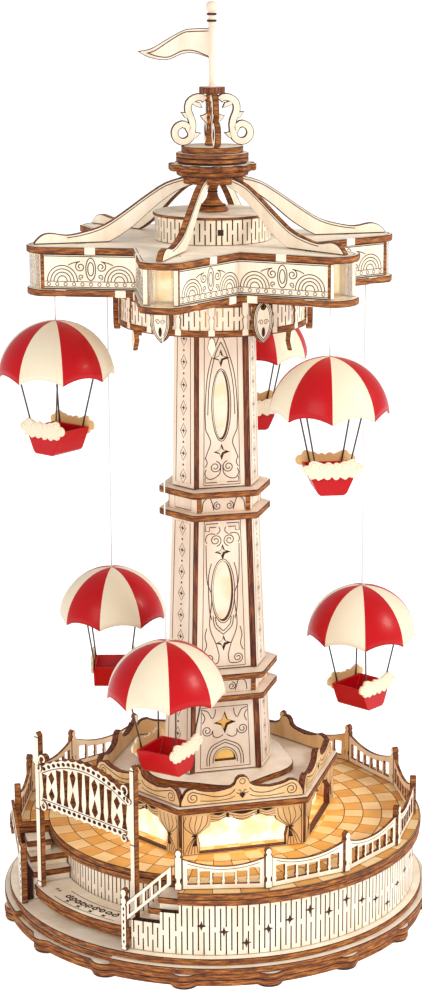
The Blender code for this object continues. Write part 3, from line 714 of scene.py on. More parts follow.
def fence_post(bm, angle):
    side = [(1.7, 0), (1.7, 3), (1.1, 3.8), (1.1, 5), (1.7, 5.8), (1.7, 15.2), (1.1, 16), (1.7, 17.2),
            (1.2, 18.6)]
    post = side + [(0, POST_HIGH)] + flipped(side)[::-1]
    cut_sheet(bm, [post], PLY, facing(angle, POST_R - 1.4, DECK_TOP + 0.3))


# Birch painted golden with the lamps' amber light, and the redder, darker burnt edge of an upright board.
amber_lit_birch = veneer("birch_veneer_painted_lamplight", ((0.3, "#D6A868"), (0.52, "#E8C18C"), (0.75, "#F2D6AA")))
burnt_upright = burnt_edge("burnt_upright_edge", (1.3, 1.3, 0.12), ((0.36, "#321006"), (0.5, "#642A12"),
                                                                    (0.68, "#A0602F")))
LAMPLIT_PLYWOOD = (amber_lit_birch, burnt_upright, char_and_painted_shade)

for order, name in enumerate(("front_fence", "right_fence", "back_fence", "left_fence")):
    bm = bmesh.new()
    first = WALL_START + 3 * BAY * order
    for i in range(3):
        fence_panel(bm, first + BAY * (i + 0.5))
    for i in range(4 if order == 3 else 3):
        fence_post(bm, first + BAY * i)
    # Painted amber lamplight on the back panels.
    looks = LAMPLIT_PLYWOOD if name == "back_fence" else PLYWOOD
    finished(name + "_boards", bm, looks, (name,))

# The pavilion. Six stage-front boards stand in a hexagon, cut as drawn curtains with engraved folds and
# tassels; strips hide the corners, and a paper lantern behind the stages spreads the lamps' warm light.
PAVILION_R, PAVILION_TOP = 59.9, 65.0
PAVILION_FLAT = PAVILION_R * math.cos(math.radians(30))


def smooth_line(points, steps=5):
    """A soft curve through the points."""
    made = []
    for i in range(len(points) - 1):
        a, b = Vector(points[i]), Vector(points[i + 1])
        before = Vector(points[i - 1]) if i else a
        after = Vector(points[i + 2]) if i + 2 < len(points) else b
        for k in range(steps):
            t = k / steps
            spot = 0.5 * (
                2 * a + (b - before) * t + (2 * before - 5 * a + 4 * b - after) * t * t
                + (3 * a - before - 3 * b + after) * t**3
            )
            made.append(tuple(spot))
    return made + [tuple(points[-1])]


def both(points):
    """A line and its mirror image."""
    return (points, flipped(points))


def hexagon(radius):
    return [on_plan(radius, 30 + 60 * k) for k in range(6)]


def glow(name, dim, bright, strength):
    """Paper lit from behind, a little cloudy where its fibres lie thicker."""
    made, tree, shader = new_material(name)
    place = add(tree, "ShaderNodeTexCoord").outputs["Object"]
    cloudy = add(tree, "ShaderNodeTexNoise", {"Vector": place, "Scale": 1 / (7.0 * MM), "Detail": 3.0})
    tint = blend_colours(tree, cloudy.outputs["Fac"], ((0.4, dim), (0.58, bright)))
    tree.links.new(tint, shader.inputs["Emission Color"])
    shader.inputs["Base Color"].default_value = linear("#A89878")
    shader.inputs["Roughness"].default_value = 0.8
    shader.inputs["Emission Strength"].default_value = strength
    return made


# Lantern paper with a warm white lamp close behind it, with a weaker one farther off, and with an amber one.
stage_light = glow("lit_lantern_paper", "#FBE3AE", "#FFFCF2", 1.0)
warm_light = glow("warm_lantern_paper", "#F8E6C0", "#FFF8E6", 0.78)
arm_light = glow("gold_lantern_paper", "#E2B06A", "#FFF0CC", 0.8)
amber_light = glow("amber_lantern_paper", "#EFA838", "#F8C668", 0.75)

wall_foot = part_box("pavilion_walls")[0][2] / MM
bm = bmesh.new()
for k in range(6):
    place = facing(60.0 * k, PAVILION_FLAT - PLY)
    half = PAVILION_R / 2 - 0.7
    wall = oblong(-half, wall_foot, half, PAVILION_TOP)
    right = [(20.6, 45.5), (20.3, 49.5), (21.4, 54.0), (18.6, 56.2), (16.0, 58.0), (15.3, 60.0)]
    right += smooth_line([(14.8, 59.9), (11.4, 60.3), (8.2, 62.0)], 4)
    right += smooth_line([(6.6, 61.2), (5.4, 62.2), (3.0, 60.2), (0.0, 59.4)], 4)
    cut_sheet(bm, [wall, right + flipped(right)[::-1][1:]], PLY, place)
    face = SCORED
    for order in range(5):
        top = 16.6 + 2.6 * order
        above = smooth_line([(top, 63.6), (top + 1.0, 59.0), (22.2 + 0.25 * order, 54.4)])
        below = [(22.2 + 0.2 * order, 53.6), (22.0 + 0.9 * order, 50), (21.4 + 1.6 * order, 45.3)]
        for line in (*both(above), *both(smooth_line(below))):
            stroke(bm, line, 0.32, place, face)
    for side in (-1, 1):
        inlay(bm, oval(1.5, 0.5, (side * 23.0, 54.0), 14), place, face + 0.02)
        inlay(bm, [(side * 22.4, 53.2), (side * 24.0, 49.0), (side * 21.9, 49.0)], place, face + 0.02)
        stroke(bm, [(side * (half - 1.0), wall_foot + 0.5), (side * (half - 1.0), 64.3)], 0.35, place, face)
        for low in (60.0, 61.2, 62.4):
            swag = [(side * 15.6, low + 1.6), (side * 11.6, low + 0.9), (side * 7.6, low + 2.2)]
            stroke(bm, smooth_line(swag, 4), 0.26, place, face)
    for low in (60.3, 61.5, 62.7):
        stroke(bm, smooth_line([(-6.4, low + 1.6), (0, low), (6.4, low + 1.6)], 6), 0.26, place, face)
    for side in (-1, 1):
        inlay(bm, oval(0.75, 1.3, (side * 7.3, 62.9), 12), place, face + 0.02)
        # The crescent gap under each side swag is a flat charred patch: painted shadow.
        swag_gap_shade = smooth_line([(side * 14.6, 64.3), (side * 11.4, 63.0), (side * 8.4, 64.3)], 5)
        inlay(bm, swag_gap_shade + [(side * 11.4, 64.4)], place, face + 0.02)
    # The gap under the middle swag is a flat charred patch: painted shadow.
    inlay(bm, smooth_line([(-5.6, 64.2), (0, 62.6), (5.6, 64.2)], 6) + [(0, 64.3)], place, face + 0.02)
    corner = oblong(-0.9, wall_foot, 0.9, PAVILION_TOP)
    cut_sheet(bm, [corner], 2.0, facing(30 + 60.0 * k, PAVILION_R - 2.6), slots=(1, 1, 2))
# The stage fronts take the amber birch: painted lamplight.
finished("stage_front_boards", bm, LAMPLIT_PLYWOOD, ("pavilion_walls",))
bm = bmesh.new()
lantern_high = PAVILION_TOP - wall_foot - 0.6
cut_sheet(bm, [hexagon(PAVILION_R - 9.0)], lantern_high, level(wall_foot + 0.2), 0.1, ONE_LOOK)
finished("stage_lantern", bm, (stage_light,))

# The cornice and the crests. A hexagonal sheet caps the stages; on it stand six scroll-cut crest boards with
# a knob in the middle, and the tower's lobed foot plate lies inside them.
cornice_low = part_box("pavilion_cornice")[0][2] / MM
bm = bmesh.new()
cut_sheet(bm, [hexagon(PAVILION_R + 1.8), hexagon(30.0)], PLY, level(cornice_low))
finished("cornice_sheet", bm, PLYWOOD, ("pavilion_cornice",))
crest_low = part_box("pavilion_crests")[0][2] / MM
bm = bmesh.new()
CREST = [(29.2, 68.6), (29.2, 70.8), (28.2, 73.1), (26.8, 75.6), (25.0, 76.6), (22.6, 76.9), (20.6, 75.9),
         (18.0, 75.2), (13.4, 74.6), (8.8, 75.1), (5.6, 75.9), (3.7, 77.1), (2.9, 79.3), (1.4, 80.6),
         (0.0, 80.7)]
for k in range(6):
    place = facing(60.0 * k, 59.0 * math.cos(math.radians(30)) - PLY)
    cut_sheet(bm, [CREST + flipped(CREST)[::-1][1:]], PLY, place)
    face = SCORED
    for side in (-1, 1):
        stroke(bm, curl((side * 23.4, 72.3), 2.9, 1.6, 90, -side), 0.42, place, face)
        wave = [(23.4, 75.2), (18.5, 73.6), (12, 71.9), (6, 72.6), (3.4, 74.8)]
        under = [(20, 70.6), (13, 70.0), (6.4, 70.4), (3.5, 71.5)]
        stroke(bm, smooth_line([(side * x, z) for x, z in wave]), 0.42, place, face)
        stroke(bm, smooth_line([(side * x, z) for x, z in under]), 0.35, place, face)
        stroke(bm, curl((side * 1.5, 73.6), 1.4, 0.9, 200 if side < 0 else -20, -side), 0.35, place, face)
    stroke(bm, oval(1.3, 1.3, (0, 78.3), 16), 0.35, place, face, closed=True)
    inlay(bm, [(0, 69.9), (1.5, 71.9), (0, 73.2), (-1.5, 71.9)], place, face)
# The crests take the amber birch: painted lamplight.
finished("crest_boards", bm, LAMPLIT_PLYWOOD, ("pavilion_crests",))
bm = bmesh.new()
lobed = [on_plan(36.6 + 1.5 * math.cos(math.radians(6 * a)), a) for a in range(0, 360, 3)]
cut_sheet(bm, [lobed], PLY, level(crest_low))
finished("tower_foot_plate", bm, PLYWOOD, ("roof_plate",))

# The tower. Every storey has three wide boards with cut windows between three narrow ones, whose edges stand
# a little proud; the wide ones are scored with arches and volutes, the narrow ones with a row of diamonds. A
# paper tube glows inside each storey, amber in the lowest.
SET_BACK, PROUD = 0.8, 0.6
COS_30 = math.cos(math.radians(30))

# A rosier, greyer copy of the birch: painted shade, darker than the base.
shaded_birch = veneer("birch_veneer_painted_shade", ((0.3, "#DCC3AB"), (0.52, "#E8D4C0"), (0.75, "#F0E2D2")))
SHADED_PLYWOOD = (shaded_birch, burnt_upright, char_and_painted_shade)


def tower_board(bm, angle, rows, halves, holes):
    """A leaning board; rows are its foot and head as (height, distance), halves its half widths there."""
    (low, far), (high, near) = rows
    hinge = facing(angle, far - PLY, low, math.atan2(far - near, high - low))
    place = hinge @ Matrix.Translation((0, -low * MM, 0))
    foot, head = halves
    outline = [(-foot, low), (foot, low), (head, high), (-head, high)]
    cut_sheet(bm, [outline, *holes], PLY, place)
    return place


def storey(name, nodes, low, high, foot, head, holes, scored):
    """Foot and head are the distances of the wide and the narrow faces from the axis."""
    bm = bmesh.new()
    wide_halves = [(narrow - wide / 2 - PLY + SET_BACK / 2) / COS_30 + 0.5 for wide, narrow in (foot, head)]
    narrow_halves = [(wide - narrow / 2) / COS_30 + PROUD for wide, narrow in (foot, head)]
    face = SCORED
    for k in range(3):
        rows = ((low, foot[0] - SET_BACK), (high, head[0] - SET_BACK))
        place = tower_board(bm, 120.0 * k, rows, wide_halves, holes)
        for line, wide in scored:
            stroke(bm, line, wide, place, face)
        rows = ((low, foot[1]), (high, head[1]))
        place = tower_board(bm, 60 + 120.0 * k, rows, narrow_halves, [])
        at_foot, at_head = narrow_halves[0] - 2.6, narrow_halves[1] - 2.6
        side = [(at_foot, low + 2.2), (at_head, high - 2.2)]
        stroke(bm, whole(side), 0.4, place, face, closed=True)
        count = round((high - low) / 11)
        for step in range(count):
            y = low + (high - low) * (step + 0.5) / count
            stroke(bm, star(2, 3.4, 2.0, (0, y)), 0.4, place, face, closed=True)
            inlay(bm, star(4, 1.5, 0.5, (0, y)), place, face)
            if step:
                inlay(bm, oval(0.55, 0.55, (0, y - (high - low) / count / 2), 8), place, face)
    # The storey boards take the darker birch: painted shade.
    finished(name + "_boards", bm, SHADED_PLYWOOD, nodes)
    bm = bmesh.new()
    inner = head[0] - 4.2
    cut_sheet(bm, [hexagon(inner / COS_30)], high - low - 1.0, level(low + 0.5), 0.1, ONE_LOOK)
    finished(name + "_lantern", bm, (amber_light if name == "lower_storey" else warm_light,))


def framed(low, high, foot, head):
    return [([(-foot, low), (-head, high)], 0.3), ([(foot, low), (head, high)], 0.3),
            ([(-head, high), (head, high)], 0.3), ([(-foot, low), (foot, low)], 0.3)]


def mirrored(lines, wide=0.42):
    return [(half, wide) for line in lines for half in both(line)]


LOW_SCORES = framed(73.6, 103.4, 12.2, 11.2) + mirrored([
    smooth_line([(8.9, 74.6), (8.7, 79.5), (6.4, 84.2), (0, 87.2)]),
    smooth_line([(7.7, 74.6), (7.5, 79.0), (5.6, 83.0), (0, 85.8)]),
    curl((8.6, 92.0), 2.7, 1.7, 180),
    smooth_line([(5.9, 92.0), (5.6, 89.3), (3.4, 88.4), (0.9, 89.6)]),
    smooth_line([(10.9, 102.4), (8.2, 101.4), (6.2, 98.0), (4.8, 99.6), (4.4, 102.4)]),
    smooth_line([(10.8, 95.6), (9.6, 98.4), (10.9, 101.2)]),
    [(5.9, 75.8), (5.9, 77.6)],
])
half_moon = [point for point in oval(4.9, 5.2, (0, 77.0), 32) if point[1] >= 76.99]
storey(
    "lower_storey", ("lower_storey",), 71.9, 108.0, (20.2, 25.4), (18.9, 23.8),
    [star(4, 4.6, 1.7, (0, 95.6)), half_moon],
    LOW_SCORES + [(oval(5.9, 6.4, (0, 77.0), 32)[:17], 0.4)],
)
MIDDLE_SCORES = framed(123.0, 193.2, 10.4, 8.6) + mirrored([
    [(2.0, 191.9), (7.9, 191.9), (8.1, 188.4), (6.2, 188.4), (6.2, 190.2), (2.9, 190.2)],
    curl((3.3, 183.9), 2.9, 1.7, -100, -1),
    smooth_line([(2.8, 186.8), (1.2, 188.2), (1.5, 190.2)]),
    smooth_line([(3.4, 186.8), (5.6, 187.2), (7.4, 186.4), (8.1, 184.2), (7.4, 182.6)]),
    smooth_line([(5.4, 173.0), (6.9, 166.0), (6.7, 152.0), (5.6, 146.0)]),
    smooth_line([(4.9, 147.6), (4.0, 142.4), (0, 138.6)]),
    smooth_line([(3.8, 147.3), (3.1, 143.4), (0, 140.2)]),
    smooth_line([(7.9, 182.0), (7.6, 165.0), (5.4, 157.0), (6.6, 143.0), (3.6, 134.0), (2.2, 128.6)]),
    smooth_line([(2.2, 128.6), (3.0, 124.8), (6.8, 124.4)]),
    curl((6.9, 126.9), 2.5, 1.7, -90),
    smooth_line([(9.6, 130.4), (8.2, 133.6), (8.9, 138.0), (8.0, 142.0)]),
])
storey(
    "middle_storey", ("middle_storey",), 121.8, 194.7, (18.1, 22.8), (16.2, 20.2),
    [oval(4.6, 14.3, (0, 159.5), 32), star(4, 3.0, 1.1, (0, 178.2)), star(4, 3.0, 1.1, (0, 134.4))],
    MIDDLE_SCORES + [(oval(5.6, 15.4, (0, 159.5), 36) + [(5.6, 159.5)], 0.4)],
)
UPPER_SCORES = framed(210.2, 281.6, 8.6, 7.6) + mirrored([
    smooth_line([(0, 280.4), (2.4, 275.0), (6.2, 262.0), (7.6, 246.0), (7.4, 236.0)]),
    smooth_line([(0, 276.6), (2.9, 270.0), (5.6, 257.0), (6.4, 243.0)]),
    curl((3.1, 218.6), 2.8, 1.7, 100),
    smooth_line([(0.4, 219.6), (1.0, 215.6), (3.6, 213.4), (6.4, 213.2), (8.0, 215.4), (7.4, 217.8)]),
    [(2.4, 211.4), (7.9, 211.4), (7.9, 214.0)],
    smooth_line([(7.6, 223.0), (6.9, 220.6), (7.9, 218.6)]),
    smooth_line([(7.4, 236.0), (5.2, 230.6), (6.6, 226.0), (7.9, 222.6)]),
])
storey(
    "upper_storey", ("upper_storey",), 208.9, 283.4, (15.9, 19.8), (14.6, 18.4),
    [oval(3.6, 15.8, (0, 247.4), 32), star(4, 3.2, 1.1, (0, 269.2)), star(4, 3.0, 1.1, (0, 225.6))],
    UPPER_SCORES + [(oval(4.5, 16.8, (0, 247.4), 36) + [(4.5, 247.4)], 0.4)],
)

# The collars. Between the storeys two rounded hexagonal sheets clasp a short band, which is scored with
# arches and curls and has a burnt strip at each end of its wide faces.


def tower_plan(wide, narrow):
    half = (narrow - wide / 2) / COS_30
    return [on_plan(wide, 120.0 * k, across) for k in range(3) for across in (-half, half)]


def softened(corners, radius, steps=5):
    """The outline with its corners rounded."""
    points = []
    for i, corner in enumerate(corners):
        corner = Vector(corner)
        before = (Vector(corners[i - 1]) - corner).normalized()
        after = (Vector(corners[(i + 1) % len(corners)]) - corner).normalized()
        half = before.angle(after) / 2
        start, end = corner + before * radius / math.tan(half), corner + after * radius / math.tan(half)
        for k in range(steps + 1):
            t = k / steps
            points.append(tuple(start * (1 - t) ** 2 + corner * 2 * t * (1 - t) + end * t * t))
    return points


for name, low, high, wide in (("collar_1", 108.3, 121.5, 25.5), ("collar_2", 195.0, 208.6, 22.5)):
    bm = bmesh.new()
    plan = softened(tower_plan(wide, wide + 2.0), 3.4)
    cut_sheet(bm, [plan], PLY, level(low))
    cut_sheet(bm, [plan], PLY, level(high - PLY))
    band = tower_plan(wide - 4.5, wide - 2.5)
    cut_sheet(bm, [band], high - low - 2 * PLY, level(low + PLY), 0.1, (0, 0, 2))
    base, top = low + PLY + 0.8, high - PLY - 0.8
    corner = (wide - 2.5 - (wide - 4.5) / 2) / COS_30
    for k in range(3):
        place = facing(120.0 * k, wide - 4.5)
        for side in (-1, 1):
            post = oblong(side * corner, low + PLY, side * (corner - 2.2), high - PLY)
            cut_sheet(bm, [post], 0.4, place, 0.1, (1, 1, 2))
            stroke(bm, curl((side * 2.9, base + 2.2), 2.0, 1.5, 90, -side), 0.42, place, 0.05)
            arch = [(side * 10.2, base), (side * 9.4, top - 1.4), (side * 6.4, top), (side * 4.6, base + 0.2)]
            stroke(bm, smooth_line(arch), 0.42, place, 0.05)
        stroke(bm, smooth_line([(-6.4, top), (0, top + 0.4), (6.4, top)]), 0.4, place, 0.05)
        narrow_face = facing(60 + 120.0 * k, wide - 2.5)
        stroke(bm, oblong(-5.4, base, 5.4, top), 0.4, narrow_face, 0.05, closed=True)
    # The collar sheets take the darker birch: painted shade of the set-back band.
    finished(name + "_sheets", bm, (shaded_birch, burnt, char_and_painted_shade), (name,))

# The frieze. A slit strip is bent between two ring plates under the star; six oval cartouches and small
# spring clips hold it, and diamond drops hang below.
FRIEZE_LOW, FRIEZE_HIGH, FRIEZE_R = 283.7, 299.8, 43.5
CLIP = [(1.5, 284.2), (1.5, 286.6), (0.8, 287.6), (1.2, 291.6), (0.6, 292.6), (1.5, 294.0), (1.5, 299.0)]
DROP = [(0, 283.6), (-1.2, 282.4), (-2.0, 278.6), (0, 273.9), (2.0, 278.6), (1.2, 282.4)]
bm = bmesh.new()
cut_sheet(bm, [circle(FRIEZE_R, 96), circle(15.0, 24)], PLY, level(FRIEZE_LOW))
cut_sheet(bm, [circle(FRIEZE_R, 96), circle(30.0, 48)], PLY, level(FRIEZE_HIGH - PLY))
slit_wall(bm, FRIEZE_R - 0.9, FRIEZE_LOW + PLY, FRIEZE_HIGH - PLY, 0, 360, 2.0, 1.6, 1.8, (0, 2))
for k in range(6):
    place = facing(15 + 60.0 * k, FRIEZE_R - 0.9, 290.2)
    petal = smooth_line([(0, -9.7), (3.2, -6.6), (4.9, -1.5), (4.7, 3.6), (3.0, 7.6), (0, 9.7)], 4)
    cut_sheet(bm, [petal + flipped(petal)[::-1][1:-1], oval(1.2, 1.2, (0, 6.6), 12)], PLY, place)
    face = SCORED
    for inset in (1.0, 1.9):
        line = [(x * (1 - inset / 6), y * (1 - inset / 11)) for x, y in petal]
        for half in both(line):
            stroke(bm, half, 0.35, place, face)
    for side in (-1, 1):
        stroke(bm, curl((side * 1.3, -0.2), 1.3, 1.3, 0 if side > 0 else 180, side), 0.3, place, face)
    inlay(bm, oval(0.9, 2.2, (0, -4.6), 12), place, face)
    for turn in (-20.0, 0.0, 20.0):
        cut_sheet(bm, [whole(CLIP)], 1.4, facing(-15 + 60.0 * k + turn, FRIEZE_R - 1.4), 0.12)
    cut_sheet(bm, [DROP], 2.4, facing(-15 + 60.0 * k, FRIEZE_R - 4.5), 0.2)
finished("frieze_boards", bm, PLYWOOD, ("frieze",))
bm = bmesh.new()
lantern_high = FRIEZE_HIGH - FRIEZE_LOW - 2 * PLY - 0.2
cut_sheet(bm, [circle(FRIEZE_R - 5.0, 48)], lantern_high, level(FRIEZE_LOW + PLY + 0.1), 0.1, ONE_LOOK)
finished("frieze_lantern", bm, (amber_light,))

# The star. Two six-armed sheets hold twelve engraved side panels with their tabs; the round arm ends are
# closed by bent clear windows, each with a lamp behind it.
STAR_LOW, STAR_TOP = 300.1, 322.0
ARM_END, ARM_HALF, STAR_CORNER, ARM_BULGE = 82.0, 9.0, 49.0, 3.5
PANEL_LOW, PANEL_HIGH = STAR_LOW + PLY + 0.3, STAR_TOP - PLY - 0.3
PANEL_INSET = 1.6
TAB = (4.7, PLY + 0.08, PANEL_INSET + 0.3)


def star_plan(inset):
    points = []
    for k in range(6):
        middle = 30.0 + 60.0 * k
        points.append(on_plan(STAR_CORNER - inset * 1.1, middle - 30))
        half = ARM_HALF - inset * 0.75
        for step in range(13):
            t = step / 6 - 1
            points.append(on_plan(ARM_END - inset + ARM_BULGE * (1 - t * t), middle, half * t))
    return points


def between(start, end):
    """The place of a board whose back foot line runs from one point to another, seen from outside."""
    start, end = Vector(start), Vector(end)
    across = (end - start).normalized()
    place = Matrix.Identity(4)
    place.col[0][:3] = (across.x, across.y, 0)
    place.col[1][:3] = (0, 0, 1)
    place.col[2][:3] = (across.y, -across.x, 0)
    place.translation = (start.x * MM, start.y * MM, 0)
    return place, (end - start).length


for name, low in (("star_lower_plate", STAR_LOW), ("star_upper_plate", STAR_TOP - PLY)):
    bm = bmesh.new()
    cut_sheet(bm, [star_plan(0)], PLY, level(low))
    if low > STAR_LOW:
        stroke(bm, star_plan(1.6), 0.4, level(low), SCORED, closed=True)
        for k in range(6):
            stroke(bm, curl(on_plan(62, 30 + 60 * k), 3.4, 1.8, 60 * k), 0.4, level(low), SCORED)
    finished(name + "_sheet", bm, PLYWOOD, (name,))

bm = bmesh.new()
for k in range(6):
    middle = 30.0 + 60.0 * k
    inset = PANEL_INSET + PLY
    for side in (-1, 1):
        inner = on_plan(STAR_CORNER - inset * 1.15, middle + 30 * side)
        outer = on_plan(ARM_END - 2.6, middle, side * (ARM_HALF - inset * 0.93))
        place, length = between(inner, outer) if side < 0 else between(outer, inner)
        middle_x = length / 2
        low, high = PANEL_LOW, PANEL_HIGH
        cut_sheet(bm, [oblong(0.4, low, length - 0.4, high)], PLY, place)
        tab_out = PLY - 0.1 + PANEL_INSET / 2
        for tab, z in ((0.5, STAR_TOP - PLY / 2), (0.2, STAR_LOW + PLY / 2), (0.8, STAR_LOW + PLY / 2)):
            spot = place @ Matrix.Translation(Vector((length * tab, z, tab_out)) * MM)
            bmesh.ops.create_cube(bm, size=MM, matrix=spot @ Matrix.Diagonal((*TAB, 1.0)))
        face = SCORED
        stroke(bm, oblong(1.4, low + 0.8, length - 1.4, high - 0.8), 0.4, place, face, closed=True)
        stroke(bm, [(1.6, low + 3.3), (length - 1.6, low + 3.3)], 0.3, place, face)
        for bead in range(11):
            x = 3.4 + (length - 6.8) * bead / 10
            stroke(bm, oval(0.75, 0.75, (x, low + 2.1), 10), 0.32, place, face, closed=True)
        for scale in (1.0, 0.6):
            petal = oval(2.2 * scale, 5.0 * scale, (middle_x, low + 8.9), 20)
            stroke(bm, petal, 0.45, place, face, closed=True)
        for sense in (-1, 1):
            upper, lower = (middle_x + sense * 4.7, low + 9.9), (middle_x + sense * 4.3, low + 5.4)
            stroke(bm, curl(upper, 2.4, 1.5, 90, -sense), 0.45, place, face)
            stroke(bm, curl(lower, 1.3, 1.2, -90, sense), 0.4, place, face)
            sweep = [(upper[0], upper[1] + 2.4), (upper[0] + sense * 3.2, low + 11.6),
                     (upper[0] + sense * 5.4, low + 10.6)]
            stroke(bm, smooth_line(sweep), 0.42, place, face)
            bell = middle_x + sense * (length / 2 - 9.6)
            for half, tall in ((6.8, 7.0), (5.3, 5.5), (3.8, 4.0), (2.2, 2.4)):
                arch = oval(half, tall, (bell, low + 3.4), 30)[:16]
                stroke(bm, arch, 0.42, place, face)
    for side in (-1, 1):
        x = side * (ARM_HALF - 2.2)
        post = oblong(x - 1.2, PANEL_LOW, x + 1.2, PANEL_HIGH)
        cut_sheet(bm, [post], 2.4, facing(middle, ARM_END - 3.6), 0.2)
finished("star_panels", bm, PLYWOOD, ("star_walls",))

# Clear acrylic, bent warm: faint warm tint from the lamp, glossy.
clear, tree, shader = new_material("bent_clear_acrylic")
shader.inputs["Base Color"].default_value = linear("#FFF3DC")
shader.inputs["Roughness"].default_value = 0.08
shader.inputs["Transmission Weight"].default_value = 0.85
shader.inputs["IOR"].default_value = 1.49
shader.inputs["Alpha"].default_value = 0.55
bm = bmesh.new()
for k in range(6):
    middle = 30.0 + 60.0 * k
    pane = []
    for inset, ts in ((1.0, rows_of((-1, 1), 13)), (1.9, rows_of((1, -1), 13))):
        end = ARM_END - inset
        pane += [on_plan(end + ARM_BULGE * (1 - t * t), middle, (ARM_HALF - 3.4) * t) for t in ts]
    cut_sheet(bm, [pane], PANEL_HIGH - PANEL_LOW, level(PANEL_LOW), 0.1, ONE_LOOK)
finished("arm_windows", bm, (clear,), ("window_liner",))
bm = bmesh.new()
for k in range(6):
    lamp = oblong(-5.2, PANEL_LOW + 1, 5.2, PANEL_HIGH - 1)
    cut_sheet(bm, [lamp], 1.0, facing(30 + 60.0 * k, ARM_END - 9.0), 0.1, ONE_LOOK)
finished("arm_lamps", bm, (arm_light,))

# The roof. A bent slit drum with a lid, a turned baluster in the middle, and six swept ribs that lean in to
# the hub under the cap.
DRUM_LOW, DRUM_HIGH, DRUM_R = 322.3, 333.3, 26.4
bm = bmesh.new()
slit_wall(bm, DRUM_R, DRUM_LOW, DRUM_HIGH, -8, 352, 2.0, 1.4, 1.8, (0, 2))
cut_sheet(bm, [circle(DRUM_R + 0.8, 72)], 1.2, level(DRUM_HIGH), 0.2)
# A core in the charred look fills the drum: painted shade seen through the slits.
cut_sheet(bm, [circle(DRUM_R - 2.4, 36)], DRUM_HIGH - DRUM_LOW - 0.4, level(DRUM_LOW + 0.2), 0.1, (2, 2, 2))
place = facing(-6.5, DRUM_R, 327.8)
inlay(bm, oblong(-1.3, -1.3, 1.3, 1.3), place, 0.12)
stroke(bm, [(-2.0, -5.2), (-2.0, 5.2)], 0.4, place, 0.1)
finished("roof_drum_strip", bm, PLYWOOD, ("roof_drum",))


def lathe(bm, profile, steps=40, slot=0, centre=(0, 0)):
    """A turned shape from (radius, height) points."""
    spun = bmesh.new()
    points = [spun.verts.new((r * MM, 0, z * MM)) for r, z in profile]
    edges = [spun.edges.new(pair) for pair in zip(points, points[1:])]
    bmesh.ops.spin(
        spun, geom=points + edges, axis=(0, 0, 1), cent=(0, 0, 0), angle=math.tau, steps=steps,
        use_merge=True
    )
    bmesh.ops.remove_doubles(spun, verts=spun.verts, dist=1e-6)
    bmesh.ops.recalc_face_normals(spun, faces=spun.faces)
    bmesh.ops.translate(spun, verts=spun.verts, vec=(centre[0] * MM, centre[1] * MM, 0))
    for face in spun.faces:
        face.material_index = slot
        face.smooth = True
    take_in(bm, spun)


bm = bmesh.new()
VASE = [(0, 350.7), (3.5, 350.7), (3.6, 350.2), (3.6, 347.2), (3.2, 346.4), (2.5, 345.6), (2.2, 344.2),
        (2.2, 342.6), (2.9, 340.4), (4.4, 338.4), (5.9, 337.0), (6.9, 336.0), (7.1, 335.2), (7.0, 334.8),
        (0, 334.8)]
lathe(bm, VASE, slot=1)
for r, z in ((3.75, 347.6), (2.35, 343.4), (6.0, 337.2)):
    lathe(bm, [(r - 0.3, z + 0.5), (r + 0.15, z), (r - 0.3, z - 0.5)], slot=2)
finished("turned_baluster", bm, PLYWOOD, ("baluster",), smooth=40)

RIB = [(8, 350.7), (12.5, 350.4), (21.9, 347.9), (31.4, 342.2), (41, 335.6), (50.6, 329.8), (60, 327.0),
       (67.5, 325.9), (74.5, 327.0), (78.5, 326.3), (81.5, 323.9), (82.5, 322.3)]
RIB_UNDER = [(48.3, 322.3), (43.4, 324.8), (36.2, 329.6), (26.7, 337.6), (17.2, 344.0), (8, 347.5)]
bm = bmesh.new()
for k in range(6):
    place = facing(30 + 60.0 * k - 90, -PLY / 2)
    cut_sheet(bm, [smooth_line(RIB, 3) + smooth_line(RIB_UNDER, 3)], PLY, place)
    for lift in (SCORED, -0.04):
        stroke(bm, smooth_line([(x, z - 1.2) for x, z in RIB[1:8]], 3), 0.4, place, lift)
cut_sheet(bm, [circle(14.0, 40), circle(7.5, 24)], 3.2, level(347.5), 0.25)
finished("swept_ribs", bm, PLYWOOD, ("roof_ribs",))

# The cap. Round sheets stacked and glued, one of them notched like a cog; on top two scroll-cut boards cross.
bm = bmesh.new()
notched = [on_plan(19.9 if i % 10 < 6 else 17.6, 3.0 * i) for i in range(120)]
cut_sheet(bm, [circle(16.3, 60)], 2.2, level(351.0))
cut_sheet(bm, [notched], PLY, level(353.2))
cut_sheet(bm, [circle(15.5, 48)], 0.8, level(356.2), 0.1, (1, 2, 2))
cut_sheet(bm, [circle(16.4, 60)], 2.0, level(357.0))
cut_sheet(bm, [circle(16.4, 60)], 2.0, level(359.0))
cut_sheet(bm, [circle(14.0, 60)], PLY, level(361.0))
finished("cap_discs", bm, PLYWOOD, ("cap",))
bm = bmesh.new()
scroll_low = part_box("cap_scrolls")[0][2] / MM
hook = curl((13.3, 5.4), 3.9, 0.78, 120, -1, 0.98)
arch_line = [(9.0, 9.0), (9.8, 12.2), (11.0, 15.4), (10.6, 18.8), (8.0, 20.9), (4.8, 21.2), (3.2, 19.8)]
SCROLL_PATH = [(12.2, 6.6), (10.9, 7.6)] + hook[1:] + arch_line
LEAVES = (
    [(2.0, 9.0), (4.4, 11.2), (5.6, 13.0), (3.6, 13.6), (2.0, 14.6)],
    [(10.0, 11.0), (12.6, 12.2), (14.4, 14.8), (12.0, 14.6), (10.6, 13.6)],
    [(8.6, 19.6), (5.6, 18.9), (4.4, 16.4), (6.8, 16.8), (9.6, 18.4)],
    [(9.9, 2.6), (7.4, 3.2), (5.2, 5.4), (7.8, 5.8), (10.0, 4.8)],
)
STEM = [(2.6, 0), (2.2, 3), (2.6, 6), (2.0, 11), (2.5, 17), (2.0, 22.4)]
